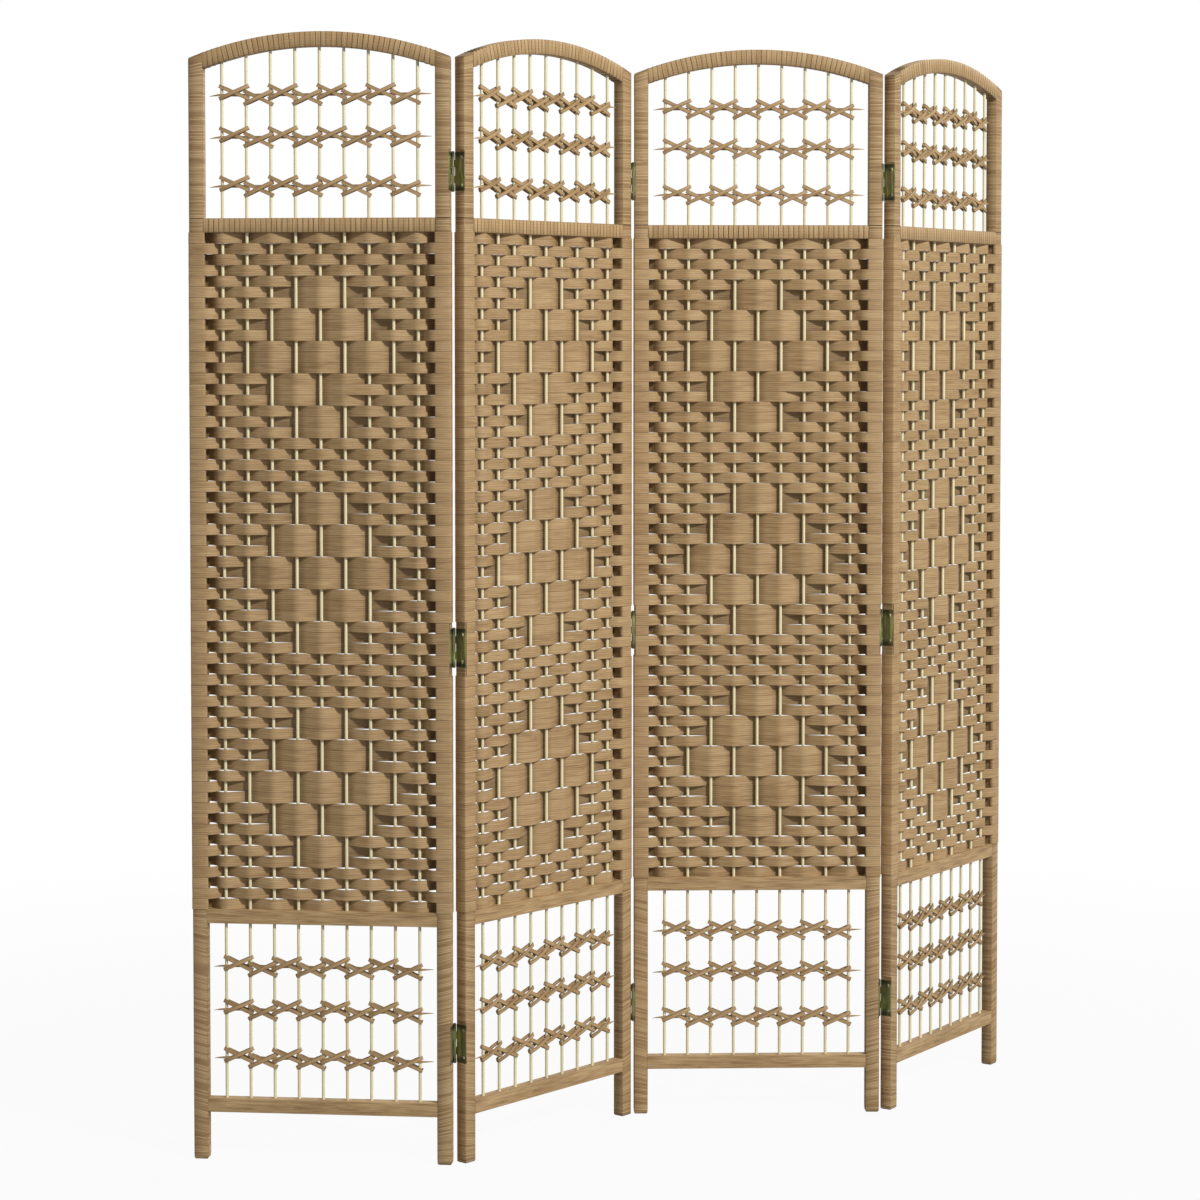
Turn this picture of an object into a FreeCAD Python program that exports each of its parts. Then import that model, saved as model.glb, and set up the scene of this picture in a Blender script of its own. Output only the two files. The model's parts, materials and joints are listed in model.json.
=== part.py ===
"""Woven folding screen: four wrapped panels in a zigzag, joined by three lines of butt hinges.

Each panel is drawn once in its own frame: u along its width from the left, v through its
thickness from the front face to the back, z up from the floor. It is then set in place about
the hinge pins. +Z is up, the front of the screen faces -Y, and the origin is the middle of the
floor area that the standing screen takes up.
"""
import FreeCAD, Part
import math
import os

V = FreeCAD.Vector
os.makedirs("parts", exist_ok=True)

# Panel frame, in millimetres
panel_count = 4
panel_width = 394.0
panel_height = 1700.0
panel_thickness = 18.5
stile_width = 21.5
arch_rise = 38.0
arch_depth = 22.0
upper_rail_height = 21.0
lower_rail_height = 21.0
bottom_rail_height = 21.0
foot_height = 72.5
bottom_bay_height = 267.0
upper_rail_drop = 298.0
edge_round = 0.8
arch_chamfer = 0.6
foot_chamfer = 2.0

# Dowels that hold the rails and the arch to the stiles
dowel_diameter = 6.0
dowel_rail_depth = 15.0
dowel_stile_depth = 12.0
dowel_clearance = 0.05

# Bamboo rods
rod_count = 9
rod_diameter = 4.8
rod_end_gap = 27.5
rod_seat_depth = 10.0
rod_clearance = 0.1
rod_end_clearance = 0.5

# Woven bands: row 1 is the top row
row_pitch = 16.2
band_row_gap = 0.4
band_thickness = 1.2
band_crest = 6.4
band_bend_margin = 0.5
band_stile_clearance = 0.1
band_tail = 4.0
band_hinge_margin = 2.0
band_hinge_clearance = 1.0

# Diamonds in the weave: the middle row of each three-row tier passes over other rods
diamond_first_row = 5
diamond_rows = 15
diamond_repeat = 20
diamond_tiers = {1: (2, 5, 8), 4: (1, 4, 6, 9), 7: (3, 5, 7), 10: (1, 4, 6, 9), 13: (2, 5, 8)}
slip_row = 15
slip_rod = 7

# Lattice ties: pairs of crossed loops round neighbouring rods
top_tie_heights = (48.0, 121.0, 184.0)
bottom_tie_heights = (61.3, 134.9, 201.2)
tie_rise = 8.5
tie_offset = 4.0
tie_width = 4.6
tie_thickness = 0.9
tie_rod_clearance = 0.2
tie_left_reach = 1.3
tie_right_reach = 1.5
tie_bow = 1.2
tie_crossing_clearance = 0.3
core_height = 2.0
core_thickness = 0.5
core_rod_clearance = 0.1
core_left_tail = 19.5
core_right_tail = 21.0

# Butt hinges, let flush into the outer edges of the stiles
hinge_gap = 4.0
hinge_height = 58.0
leaf_thickness = 1.5
leaf_end_clearance = 0.1
pin_offset = 2.3
pin_diameter = 2.6
pin_clearance = 0.05
pin_head_diameter = 4.4
pin_head_height = 1.2
knuckle_diameter = 5.2
knuckle_count = 5
knuckle_gap = 0.4
hinge_above_upper_rail = 69.0
hinge_middle_height = 780.0
hinge_above_bottom_rail = 88.0

# Round-headed screws, two in each leaf
screw_spacing = 41.0
screw_from_front = 5.5
screw_diameter = 3.0
screw_length = 14.0
screw_head_diameter = 5.6
screw_head_height = 1.3
screw_slot_width = 0.8
screw_slot_length = 3.6
screw_slot_depth = 0.6
screw_clearance = 0.05
screw_end_clearance = 0.5

# Standing pose: the turn of the first panel from +X, then the fold at each hinge line
first_panel_turn = -6.0
hinge_folds = (56.0, 48.5, 55.5)

# Sizes that follow from the driving ones
half_width = panel_width / 2
middle_depth = panel_thickness / 2
right_stile_start = panel_width - stile_width
bottom_rail_top = foot_height + bottom_rail_height
lower_rail_bottom = bottom_rail_top + bottom_bay_height
lower_rail_top = lower_rail_bottom + lower_rail_height
upper_rail_bottom = panel_height - upper_rail_drop
upper_rail_top = upper_rail_bottom + upper_rail_height
arch_outer_radius = (half_width ** 2 + arch_rise ** 2) / (2 * arch_rise)
arch_inner_radius = arch_outer_radius - arch_depth
arch_centre_height = panel_height - arch_outer_radius
rod_radius = rod_diameter / 2
rod_spacing = (panel_width - 2 * stile_width - 2 * rod_end_gap) / (rod_count - 1)
rod_places = [stile_width + rod_end_gap + i * rod_spacing for i in range(rod_count)]
row_count = round((upper_rail_bottom - lower_rail_top) / row_pitch)
row_step = (upper_rail_bottom - lower_rail_top) / row_count
band_height = row_step - band_row_gap
knuckle_length = (hinge_height - (knuckle_count - 1) * knuckle_gap) / knuckle_count
hinge_heights = (
    upper_rail_top + hinge_above_upper_rail,
    hinge_middle_height,
    bottom_rail_top + hinge_above_bottom_rail,
)


def arch_outer_z(u):
    """Height of the arch's outer curve at u."""
    return arch_centre_height + math.sqrt(arch_outer_radius ** 2 - (u - half_width) ** 2)


def arch_inner_z(u):
    """Height of the arch's inner curve at u."""
    return arch_centre_height + math.sqrt(arch_inner_radius ** 2 - (u - half_width) ** 2)


def line(start, end):
    return Part.LineSegment(V(*start), V(*end)).toShape()


def arc(start, middle, end):
    return Part.Arc(V(*start), V(*middle), V(*end)).toShape()


def prism(edges, along):
    """Solid of the closed outline, pushed along a vector."""
    return Part.Face(Part.Wire(edges)).extrude(V(*along))


def cylinder(diameter, length, start, axis):
    return Part.makeCylinder(diameter / 2, length, V(*start), V(*axis))


def cut_all(solid, tools):
    return solid.cut(Part.makeCompound(tools)) if tools else solid


def round_edges(solid, wanted):
    return solid.makeFillet(edge_round, [edge for edge in solid.Edges if wanted(edge)])


def runs_along(axis):
    """Test for straight edges along one axis."""
    def test(edge):
        if edge.Curve.TypeId != "Part::GeomLine":
            return False
        ends = [vertex.Point for vertex in edge.Vertexes]
        return abs((ends[1] - ends[0]).normalize().dot(V(*axis))) > 0.999
    return test


# Dowels and their holes

def dowel_axes():
    """Height of the dowel at each rail end, the arch last."""
    arch_end = (arch_inner_z(stile_width) + arch_outer_z(stile_width)) / 2
    return [
        foot_height + bottom_rail_height / 2,
        lower_rail_bottom + lower_rail_height / 2,
        upper_rail_bottom + upper_rail_height / 2,
        arch_end,
    ]


def dowel_pegs(diameter):
    """Cylinders at both ends of every rail."""
    pegs = []
    length = dowel_stile_depth + dowel_rail_depth
    starts = (stile_width - dowel_stile_depth, right_stile_start - dowel_rail_depth)
    for height in dowel_axes():
        for start in starts:
            pegs.append(cylinder(diameter, length, (start, middle_depth, height), (1, 0, 0)))
    return pegs


def dowel_holes():
    return dowel_pegs(dowel_diameter + 2 * dowel_clearance)


# Stiles

def hinge_mortise(start, height):
    """Shallow housing for one leaf, right across the stile's edge."""
    bottom = height - hinge_height / 2
    return Part.makeBox(leaf_thickness, panel_thickness, hinge_height, V(start, 0, bottom))


def screw_heights(height):
    return (height - screw_spacing / 2, height + screw_spacing / 2)


def stile(left, hinged, front_pin):
    """One upright, with its top cut to the arch's curve and its foot chamfered."""
    inner, outer = (stile_width, 0.0) if left else (right_stile_start, panel_width)
    middle = (inner + outer) / 2
    outline = [
        line((outer, 0, 0), (inner, 0, 0)),
        line((inner, 0, 0), (inner, 0, arch_outer_z(inner))),
        arc((inner, 0, arch_outer_z(inner)), (middle, 0, arch_outer_z(middle)), (outer, 0, arch_outer_z(outer))),
        line((outer, 0, arch_outer_z(outer)), (outer, 0, 0)),
    ]
    solid = prism(outline, (0, panel_thickness, 0))
    foot_edges = [edge for edge in solid.Edges if edge.BoundBox.ZMax < foot_chamfer]
    solid = solid.makeChamfer(foot_chamfer, foot_edges)
    solid = round_edges(solid, runs_along((0, 0, 1)))
    tools = dowel_holes()
    if hinged:
        start = 0.0 if left else panel_width - leaf_thickness
        inward = 1 if left else -1
        face = leaf_thickness if left else panel_width - leaf_thickness
        depth = screw_length + screw_end_clearance
        for height in hinge_heights:
            tools.append(hinge_mortise(start, height))
            for level in screw_heights(height):
                place = (face, screw_depth(front_pin), level)
                tools.append(cylinder(screw_diameter + 2 * screw_clearance, depth, place, (inward, 0, 0)))
    return cut_all(solid, tools)


# Rails and arch

def rod_holes():
    """Holes for the rods, blind in the bottom rail and the arch."""
    holes = []
    for u in rod_places:
        bottom = bottom_rail_top - rod_seat_depth - rod_end_clearance
        top = arch_inner_z(u) + rod_seat_depth + rod_end_clearance
        holes.append(cylinder(rod_diameter + 2 * rod_clearance, top - bottom, (u, middle_depth, bottom), (0, 0, 1)))
    return holes


def rail(bottom, height):
    """Straight rail between the stiles, bored for rods and dowels."""
    bar = Part.makeBox(right_stile_start - stile_width, panel_thickness, height, V(stile_width, 0, bottom))
    return cut_all(round_edges(bar, runs_along((1, 0, 0))), rod_holes() + dowel_holes())


def arch_rail():
    """Curved top rail between the stiles."""
    left, right = stile_width, right_stile_start
    outline = [
        arc((left, 0, arch_outer_z(left)), (half_width, 0, panel_height), (right, 0, arch_outer_z(right))),
        line((right, 0, arch_outer_z(right)), (right, 0, arch_inner_z(right))),
        arc((right, 0, arch_inner_z(right)), (half_width, 0, panel_height - arch_depth), (left, 0, arch_inner_z(left))),
        line((left, 0, arch_inner_z(left)), (left, 0, arch_outer_z(left))),
    ]
    solid = prism(outline, (0, panel_thickness, 0))
    curved_edges = [edge for edge in solid.Edges if edge.Curve.TypeId == "Part::GeomCircle"]
    solid = solid.makeChamfer(arch_chamfer, curved_edges)
    return cut_all(solid, rod_holes() + dowel_holes())


# Rods

def rods():
    solids = []
    for u in rod_places:
        bottom = bottom_rail_top - rod_seat_depth
        top = arch_inner_z(u) + rod_seat_depth
        solids.append(cylinder(rod_diameter, top - bottom, (u, middle_depth, bottom), (0, 0, 1)))
    return solids


# Bands: a plan line of flats and S-bends between crests, given a thickness and a height

def bend_edges(start, end, offset):
    """Edges from one crest to the next, moved sideways by offset: a flat, or two equal arcs."""
    run, rise = end[0] - start[0], end[1] - start[1]
    if abs(rise) < 1e-6:
        return [line((start[0], start[1] + offset, 0), (end[0], end[1] + offset, 0))]
    side = math.copysign(1.0, rise)
    turn = 2 * math.atan2(abs(rise), run)
    radius = run / 2 / math.sin(turn)
    near, far = radius - side * offset, radius + side * offset

    def leaving(angle):
        return (start[0] + near * math.sin(angle), start[1] + side * (radius - near * math.cos(angle)), 0)

    def arriving(angle):
        return (end[0] - far * math.sin(angle), end[1] - side * (radius - far * math.cos(angle)), 0)

    return [
        arc(leaving(0), leaving(turn / 2), leaving(turn)),
        arc(arriving(turn), arriving(turn / 2), arriving(0)),
    ]


def upright(edges, height):
    """Solid on z = 0 whose plan outline is the closed loop of edges."""
    outline = Part.Wire(Part.__sortEdges__(edges))
    return Part.Face(outline).extrude(V(0, 0, height))


def run_edges(crests, thickness):
    """Both long sides of a strip that goes from crest to crest."""
    edges = []
    for offset in (thickness / 2, -thickness / 2):
        for start, end in zip(crests, crests[1:]):
            edges.extend(bend_edges(start, end, offset))
    return edges


def end_cap(crest, thickness):
    u, v = crest
    return line((u, v - thickness / 2, 0), (u, v + thickness / 2, 0))


def over_rods(row):
    """Numbers of the rods that a row passes in front of."""
    step = (row - diamond_first_row) % diamond_repeat
    first = row - step
    whole = first >= diamond_first_row and first + diamond_rows <= row_count
    over = set(range(1 if row % 2 else 2, rod_count + 1, 2))
    if whole and step in diamond_tiers:
        over = set(diamond_tiers[step])
    if row == slip_row:
        over.add(slip_rod)
    return over


def corner(centre, radius, side):
    """Quarter turn about one rounded edge of a stile, towards side along u and v."""
    (u, v), (along, across) = centre, side
    slant = radius * math.sqrt(0.5)
    return [(u, v + across * radius), (u + along * slant, v + across * slant), (u + along * radius, v)]


def stile_turn(distance):
    """Path round the left stile for a row that comes in behind it, as corner arcs."""
    radius = edge_round + distance
    near, far = edge_round, panel_thickness - edge_round
    back = corner((edge_round, far), radius, (-1, 1))
    front = corner((edge_round, near), radius, (-1, -1))[::-1]
    inner = corner((stile_width - edge_round, near), radius, (1, -1))
    return back, front, inner


def band_end(row, left, hinged):
    """Edges that finish one end of a row round its stile, and those of a separate collar."""
    behind = row % 2 == 1

    def point(place):
        u, v = place
        return (u if left else panel_width - u, v if behind else panel_thickness - v, 0)

    def path(places):
        return [line(point(start), point(end)) for start, end in zip(places, places[1:])]

    def turn(places):
        return arc(*[point(place) for place in places])

    distances = (band_stile_clearance, band_stile_clearance + band_thickness)
    joined, collar, starts, stops = [], [], [], []
    for distance in distances:
        back, front, inner = stile_turn(distance)
        behind_stile = (stile_width + band_bend_margin, panel_thickness + distance)
        tail = (stile_width + distance, band_tail)
        collar.extend([turn(inner), *path([inner[-1], tail])])
        if hinged:
            starts.append((band_hinge_margin, panel_thickness + distance))
            stops.append((band_hinge_margin, -distance))
            joined.extend(path([behind_stile, starts[-1]]))
            collar.extend(path([stops[-1], inner[0]]))
        else:
            joined.extend([*path([behind_stile, back[0]]), turn(back), *path([back[-1], front[0]])])
            joined.extend([turn(front), *path([front[-1], inner[0]])])
    tail_cap = path([(stile_width + distance, band_tail) for distance in distances])
    if hinged:
        return joined + path(starts), collar + path(stops) + tail_cap
    return joined + collar + tail_cap, []


def meets_hinge(bottom):
    """Whether a row that starts at this height passes a hinge."""
    reach = hinge_height / 2 + pin_head_height + band_hinge_clearance
    return any(bottom < height + reach and bottom + band_height > height - reach for height in hinge_heights)


def band(row, hinged_left, hinged_right):
    """One woven row, turned round both stiles: odd rows come in behind them, even rows in front."""
    bottom = upper_rail_bottom - row * row_step + band_row_gap / 2
    level = band_stile_clearance + band_thickness / 2
    stile_level = panel_thickness + level if row % 2 else -level
    over = over_rods(row)
    crests = [(stile_width + band_bend_margin, stile_level)]
    for number, u in enumerate(rod_places, 1):
        crests.append((u, middle_depth - band_crest if number in over else middle_depth + band_crest))
    crests.append((right_stile_start - band_bend_margin, stile_level))
    near_hinge = meets_hinge(bottom)
    left_end, left_collar = band_end(row, True, hinged_left and near_hinge)
    right_end, right_collar = band_end(row, False, hinged_right and near_hinge)
    outlines = [run_edges(crests, band_thickness) + left_end + right_end, left_collar, right_collar]
    solids = [upright(edges, band_height) for edges in outlines if edges]
    for solid in solids:
        solid.translate(V(0, 0, bottom))
    return solids


# Lattice ties

def tie_loop(bow):
    """Flat closed loop round two rods, lying along u about its crossing."""
    tilt = math.atan2(tie_rise, rod_spacing / 2)
    reach = rod_spacing / 2 / math.cos(tilt)
    left, right = -reach - tie_left_reach, reach + tie_right_reach
    slack = rod_radius + tie_rod_clearance

    def outline(grow):
        half, middle = slack + grow, slack + bow + grow
        return Part.Wire([
            arc((left, half, 0), (0, middle, 0), (right, half, 0)),
            arc((right, half, 0), (right + half, 0, 0), (right, -half, 0)),
            arc((right, -half, 0), (0, -middle, 0), (left, -half, 0)),
            arc((left, -half, 0), (left - half, 0, 0), (left, half, 0)),
        ])

    ring = Part.Face(outline(tie_thickness)).cut(Part.Face(outline(0)))
    solid = ring.extrude(V(0, 0, tie_width)).Solids[0]
    solid.translate(V(0, 0, -tie_width / 2))
    return solid, math.degrees(tilt)


def crossed_loops():
    """The falling loop and the rising loop that passes outside it."""
    falling, tilt = tie_loop(tie_bow)
    rising, tilt = tie_loop(tie_bow + tie_thickness + tie_crossing_clearance)
    falling.rotate(V(0, 0, 0), V(0, 1, 0), tilt)
    rising.rotate(V(0, 0, 0), V(0, 1, 0), -tilt)
    return falling, rising


def core_strip():
    """Thin strip that weaves through the rods inside the loops of one row."""
    swing = rod_radius + core_rod_clearance + core_thickness / 2
    crests = [(rod_places[0] - core_left_tail, middle_depth)]
    for number, u in enumerate(rod_places):
        crests.append((u, middle_depth + (swing if number % 2 else -swing)))
    crests.append((rod_places[-1] + core_right_tail, middle_depth))
    caps = [end_cap(crest, core_thickness) for crest in (crests[0], crests[-1])]
    return upright(run_edges(crests, core_thickness) + caps, core_height)


def tie_rows(levels):
    """Rows of crossed loops, alternately a little high and a little low, each with its core strip."""
    pair = crossed_loops()
    core = core_strip()
    solids = []
    for level in levels:
        strand = core.copy()
        strand.translate(V(0, 0, level - core_height / 2))
        solids.append(strand)
        for number, u in enumerate(rod_places[:-1]):
            shift = -tie_offset if number % 2 else tie_offset
            for loop in pair:
                tied = loop.copy()
                tied.translate(V(u + rod_spacing / 2, middle_depth, level + shift))
                solids.append(tied)
    return solids


# Hinges

def pin_depth(front_pin):
    """Depth of the pin axis: just outside the front or the back face."""
    return -pin_offset if front_pin else panel_thickness + pin_offset


def screw_depth(front_pin):
    """Depth of the screws, on the leaf's free side, away from the barrel."""
    return panel_thickness - screw_from_front if front_pin else screw_from_front


def leaf(right_panel, front_pin, height):
    """One hinge leaf: a plate flush in the stile, with its share of the knuckles."""
    face = 0.0 if right_panel else panel_width
    start = face if right_panel else face - leaf_thickness
    pin_u = -hinge_gap / 2 if right_panel else panel_width + hinge_gap / 2
    axis = pin_depth(front_pin)
    bottom = height - hinge_height / 2
    plate_height = hinge_height - 2 * leaf_end_clearance
    solid = Part.makeBox(leaf_thickness, panel_thickness, plate_height, V(start, 0, bottom + leaf_end_clearance))
    neck_start = axis if front_pin else panel_thickness
    knuckles = []
    for number in range(1 if right_panel else 0, knuckle_count, 2):
        low = bottom + number * (knuckle_length + knuckle_gap)
        knuckles.append(Part.makeBox(leaf_thickness, pin_offset, knuckle_length, V(start, neck_start, low)))
        knuckles.append(cylinder(knuckle_diameter, knuckle_length, (pin_u, axis, low), (0, 0, 1)))
    solid = solid.fuse(knuckles).removeSplitter()
    tools = [cylinder(pin_diameter + 2 * pin_clearance, hinge_height, (pin_u, axis, bottom), (0, 0, 1))]
    for level in screw_heights(height):
        place = (start, screw_depth(front_pin), level)
        tools.append(cylinder(screw_diameter + 2 * screw_clearance, leaf_thickness, place, (1, 0, 0)))
    return cut_all(solid, tools)


def hinge_pin(front_pin, height):
    """Pin in the left-hand panel's frame, with a head at each end of the barrel."""
    u, v = panel_width + hinge_gap / 2, pin_depth(front_pin)
    bottom, top = height - hinge_height / 2, height + hinge_height / 2
    shaft = cylinder(pin_diameter, hinge_height, (u, v, bottom), (0, 0, 1))
    lower = cylinder(pin_head_diameter, pin_head_height, (u, v, bottom - pin_head_height), (0, 0, 1))
    upper = cylinder(pin_head_diameter, pin_head_height, (u, v, top), (0, 0, 1))
    return shaft.fuse([lower, upper])


def screw():
    """Round-headed screw: the head's seat at the origin, the shank along -u."""
    rim = screw_head_diameter / 2
    crown_radius = (rim ** 2 + screw_head_height ** 2) / (2 * screw_head_height)
    crown_angle = math.asin(rim / crown_radius) / 2
    crown_middle = (
        screw_head_height - crown_radius * (1 - math.cos(crown_angle)),
        crown_radius * math.sin(crown_angle),
        0,
    )
    outline = [
        line((0, 0, 0), (0, rim, 0)),
        arc((0, rim, 0), crown_middle, (screw_head_height, 0, 0)),
        line((screw_head_height, 0, 0), (0, 0, 0)),
    ]
    head = Part.Face(Part.Wire(outline)).revolve(V(0, 0, 0), V(1, 0, 0), 360)
    shank = cylinder(screw_diameter, screw_length + leaf_thickness, (0, 0, 0), (-1, 0, 0))
    floor = screw_head_height - screw_slot_depth
    slot_low = (floor, -screw_slot_width / 2, -screw_slot_length / 2)
    slot_across = (floor, -screw_slot_length / 2, -screw_slot_width / 2)
    slots = [
        Part.makeBox(screw_slot_depth, screw_slot_width, screw_slot_length, V(*slot_low)),
        Part.makeBox(screw_slot_depth, screw_slot_length, screw_slot_width, V(*slot_across)),
    ]
    return cut_all(head.fuse(shank), slots)


def leaf_screws(right_panel, front_pin):
    """All the screws of one line of leaves, driven in from the gap."""
    solids = []
    for height in hinge_heights:
        for level in screw_heights(height):
            one = screw()
            if right_panel:
                one.rotate(V(0, 0, 0), V(0, 0, 1), 180)
            one.translate(V(0.0 if right_panel else panel_width, screw_depth(front_pin), level))
            solids.append(one)
    return solids


# Places of the panels in the standing pose

def panel_places():
    """Placement of each panel, turned about the hinge pins from the first panel on."""
    turn = first_panel_turn
    places = [FreeCAD.Placement(V(0, 0, 0), FreeCAD.Rotation(V(0, 0, 1), turn))]
    for number, fold in enumerate(hinge_folds):
        front_pin = number % 2 == 1
        depth = pin_depth(front_pin)
        pin = places[-1].multVec(V(panel_width + hinge_gap / 2, depth, 0))
        turn += -fold if front_pin else fold
        rotation = FreeCAD.Rotation(V(0, 0, 1), turn)
        places.append(FreeCAD.Placement(pin - rotation.multVec(V(-hinge_gap / 2, depth, 0)), rotation))
    return places


def panel_nodes(number):
    """Node name and solids of one panel, in its own frame."""
    hinged_left, hinged_right = number > 1, number < panel_count
    left_front_pin, right_front_pin = number % 2 == 1, number % 2 == 0
    name = f"panel_{number}_"
    bands = [band(row, hinged_left, hinged_right) for row in range(1, row_count + 1)]
    return {
        name + "left_stile": [stile(True, hinged_left, left_front_pin)],
        name + "right_stile": [stile(False, hinged_right, right_front_pin)],
        name + "arch_rail": [arch_rail()],
        name + "upper_rail": [rail(upper_rail_bottom, upper_rail_height)],
        name + "lower_rail": [rail(lower_rail_bottom, lower_rail_height)],
        name + "bottom_rail": [rail(foot_height, bottom_rail_height)],
        name + "frame_dowels": dowel_pegs(dowel_diameter),
        name + "rods": rods(),
        name + "woven_bands": [solid for solids in bands for solid in solids],
        name + "top_ties": tie_rows([upper_rail_top + height for height in top_tie_heights]),
        name + "bottom_ties": tie_rows([bottom_rail_top + height for height in bottom_tie_heights]),
    }


def hinge_nodes(number):
    """Node names and solids of one hinge line, on its left-hand and right-hand panels."""
    front_pin = number % 2 == 0
    name = f"hinge_{number}_"
    on_left = {
        name + "left_leaves": [leaf(False, front_pin, height) for height in hinge_heights],
        name + "pins": [hinge_pin(front_pin, height) for height in hinge_heights],
        name + "left_screws": leaf_screws(False, front_pin),
    }
    on_right = {
        name + "right_leaves": [leaf(True, front_pin, height) for height in hinge_heights],
        name + "right_screws": leaf_screws(True, front_pin),
    }
    return on_left, on_right


def placed(nodes, place):
    """The nodes as compounds, moved from a panel's frame to the standing pose."""
    moved = {}
    for name, solids in nodes.items():
        shape = Part.makeCompound(solids)
        shape.Placement = place
        moved[name] = shape
    return moved


places = panel_places()
screen = {}
for number in range(1, panel_count + 1):
    screen.update(placed(panel_nodes(number), places[number - 1]))
for number in range(1, panel_count):
    on_left, on_right = hinge_nodes(number)
    screen.update(placed(on_left, places[number - 1]))
    screen.update(placed(on_right, places[number]))

# The origin is the middle of the floor area
bounds = Part.makeCompound(list(screen.values())).optimalBoundingBox(True, False)
centre = V(-bounds.Center.x, -bounds.Center.y, 0)
for name, shape in screen.items():
    shape.translate(centre)
    shape.exportStep(f"parts/{name}.step")

for number in range(1, panel_count):
    front_pin = number % 2 == 0
    pin = places[number - 1].multVec(V(panel_width + hinge_gap / 2, pin_depth(front_pin), 0)) + centre
    print(f"hinge line {number} pin at", [round(value, 4) for value in pin])
for number, place in enumerate(places, 1):
    corner = place.multVec(V(0, 0, 0)) + centre
    print(f"panel {number} front left corner at", [round(value, 4) for value in corner])
print("rows of weave", row_count, "row step", round(row_step, 3))
print("size", [round(value, 2) for value in (bounds.XLength, bounds.YLength, bounds.ZLength)])
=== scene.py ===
"""Dressed model of the woven folding screen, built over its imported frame.

Each panel is drawn in its own frame, in metres: u along its width from the left, v through its
thickness from the front face to the back, z up from the floor. Its place is then put into the mesh.
"""

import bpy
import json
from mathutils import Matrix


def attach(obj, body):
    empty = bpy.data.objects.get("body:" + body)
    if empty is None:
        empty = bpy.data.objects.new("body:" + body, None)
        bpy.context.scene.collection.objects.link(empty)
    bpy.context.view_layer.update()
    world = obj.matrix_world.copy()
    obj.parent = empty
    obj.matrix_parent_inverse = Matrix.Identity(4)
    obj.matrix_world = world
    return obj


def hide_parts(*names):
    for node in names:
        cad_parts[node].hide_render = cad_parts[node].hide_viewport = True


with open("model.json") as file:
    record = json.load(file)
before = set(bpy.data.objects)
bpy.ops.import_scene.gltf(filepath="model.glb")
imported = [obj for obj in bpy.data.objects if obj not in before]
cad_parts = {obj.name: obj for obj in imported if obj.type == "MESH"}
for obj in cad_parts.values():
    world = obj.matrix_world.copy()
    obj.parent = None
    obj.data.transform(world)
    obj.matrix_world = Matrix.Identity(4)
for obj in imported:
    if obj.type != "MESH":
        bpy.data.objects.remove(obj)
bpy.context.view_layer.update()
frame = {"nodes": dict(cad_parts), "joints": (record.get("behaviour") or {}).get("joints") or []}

import json
import logging
import math
import random
from dataclasses import dataclass, field, replace
from enum import Enum
from typing import Any, Iterable, Sequence

import bmesh
import bpy
from mathutils import Matrix, Vector

LOG = logging.getLogger("woven_screen")
MM = 0.001
NO_RISE = 1e-7

Colour = tuple[float, float, float]
Plan = tuple[float, float]


@dataclass(frozen=True)
class PanelSizes:
    """Sizes that the four panels share, in metres."""

    width: float = 394 * MM
    thickness: float = 18.5 * MM
    stile: float = 21.5 * MM
    height: float = 1700 * MM
    arch_rise: float = 38 * MM
    arch_depth: float = 22 * MM
    edge_round: float = 0.8 * MM
    rail_height: float = 21 * MM
    lower_rail: float = 360.5 * MM
    upper_rail: float = 1402 * MM
    rod_count: int = 9
    first_rod: float = 49 * MM
    rod_step: float = 37 * MM
    rod_radius: float = 2.4 * MM
    hinge_gap: float = 4 * MM
    pin_offset: float = 2.3 * MM
    hinge_height: float = 58 * MM
    hinge_levels: tuple[float, ...] = (1492 * MM, 780 * MM, 181.5 * MM)

    @property
    def middle(self) -> float:
        """Depth of the panel's middle plane."""
        return self.thickness / 2

    @property
    def lower_rail_top(self) -> float:
        """Height at which the weave starts."""
        return self.lower_rail + self.rail_height

    @property
    def upper_rail_top(self) -> float:
        """Height at which the upper bay starts."""
        return self.upper_rail + self.rail_height

    @property
    def rods(self) -> list[float]:
        """Places of the rods along u."""
        return [self.first_rod + number * self.rod_step for number in range(self.rod_count)]

    @property
    def arch_radius(self) -> float:
        """Radius of the arch's outer curve."""
        return ((self.width / 2) ** 2 + self.arch_rise ** 2) / (2 * self.arch_rise)

    def arch_top(self, u: float) -> float:
        """Height of the arch's outer curve at u."""
        drop = math.sqrt(self.arch_radius ** 2 - (u - self.width / 2) ** 2)
        return self.height - self.arch_radius + drop

    def near_hinge(self, low: float, high: float, margin: float) -> bool:
        """Whether heights from low to high come within a margin of a hinge leaf.

        Args:
            low: lower height.
            high: upper height.
            margin: room kept above and below the leaf.

        Returns:
            True where they do.
        """
        reach = self.hinge_height / 2 + margin
        return any(low < level + reach and high > level - reach for level in self.hinge_levels)


SIZES = PanelSizes()


@dataclass(frozen=True)
class PanelPlace:
    """Where one panel stands at rest."""

    number: int
    turn: float
    corner: Vector

    @property
    def body(self) -> str:
        """Name of the panel's CAD body."""
        return f"panel_{self.number}"

    @property
    def hinged_left(self) -> bool:
        """Whether the left stile carries hinges."""
        return self.number > 1

    @property
    def hinged_right(self) -> bool:
        """Whether the right stile carries hinges."""
        return self.number <= len(frame["joints"])

    def node(self, piece: str) -> str:
        """Name of one of the panel's CAD nodes."""
        return f"{self.body}_{piece}"

    def matrix(self) -> Matrix:
        """Transform from the panel's frame to the row frame."""
        return Matrix.Translation(self.corner) @ Matrix.Rotation(self.turn, 4, "Z")


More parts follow.
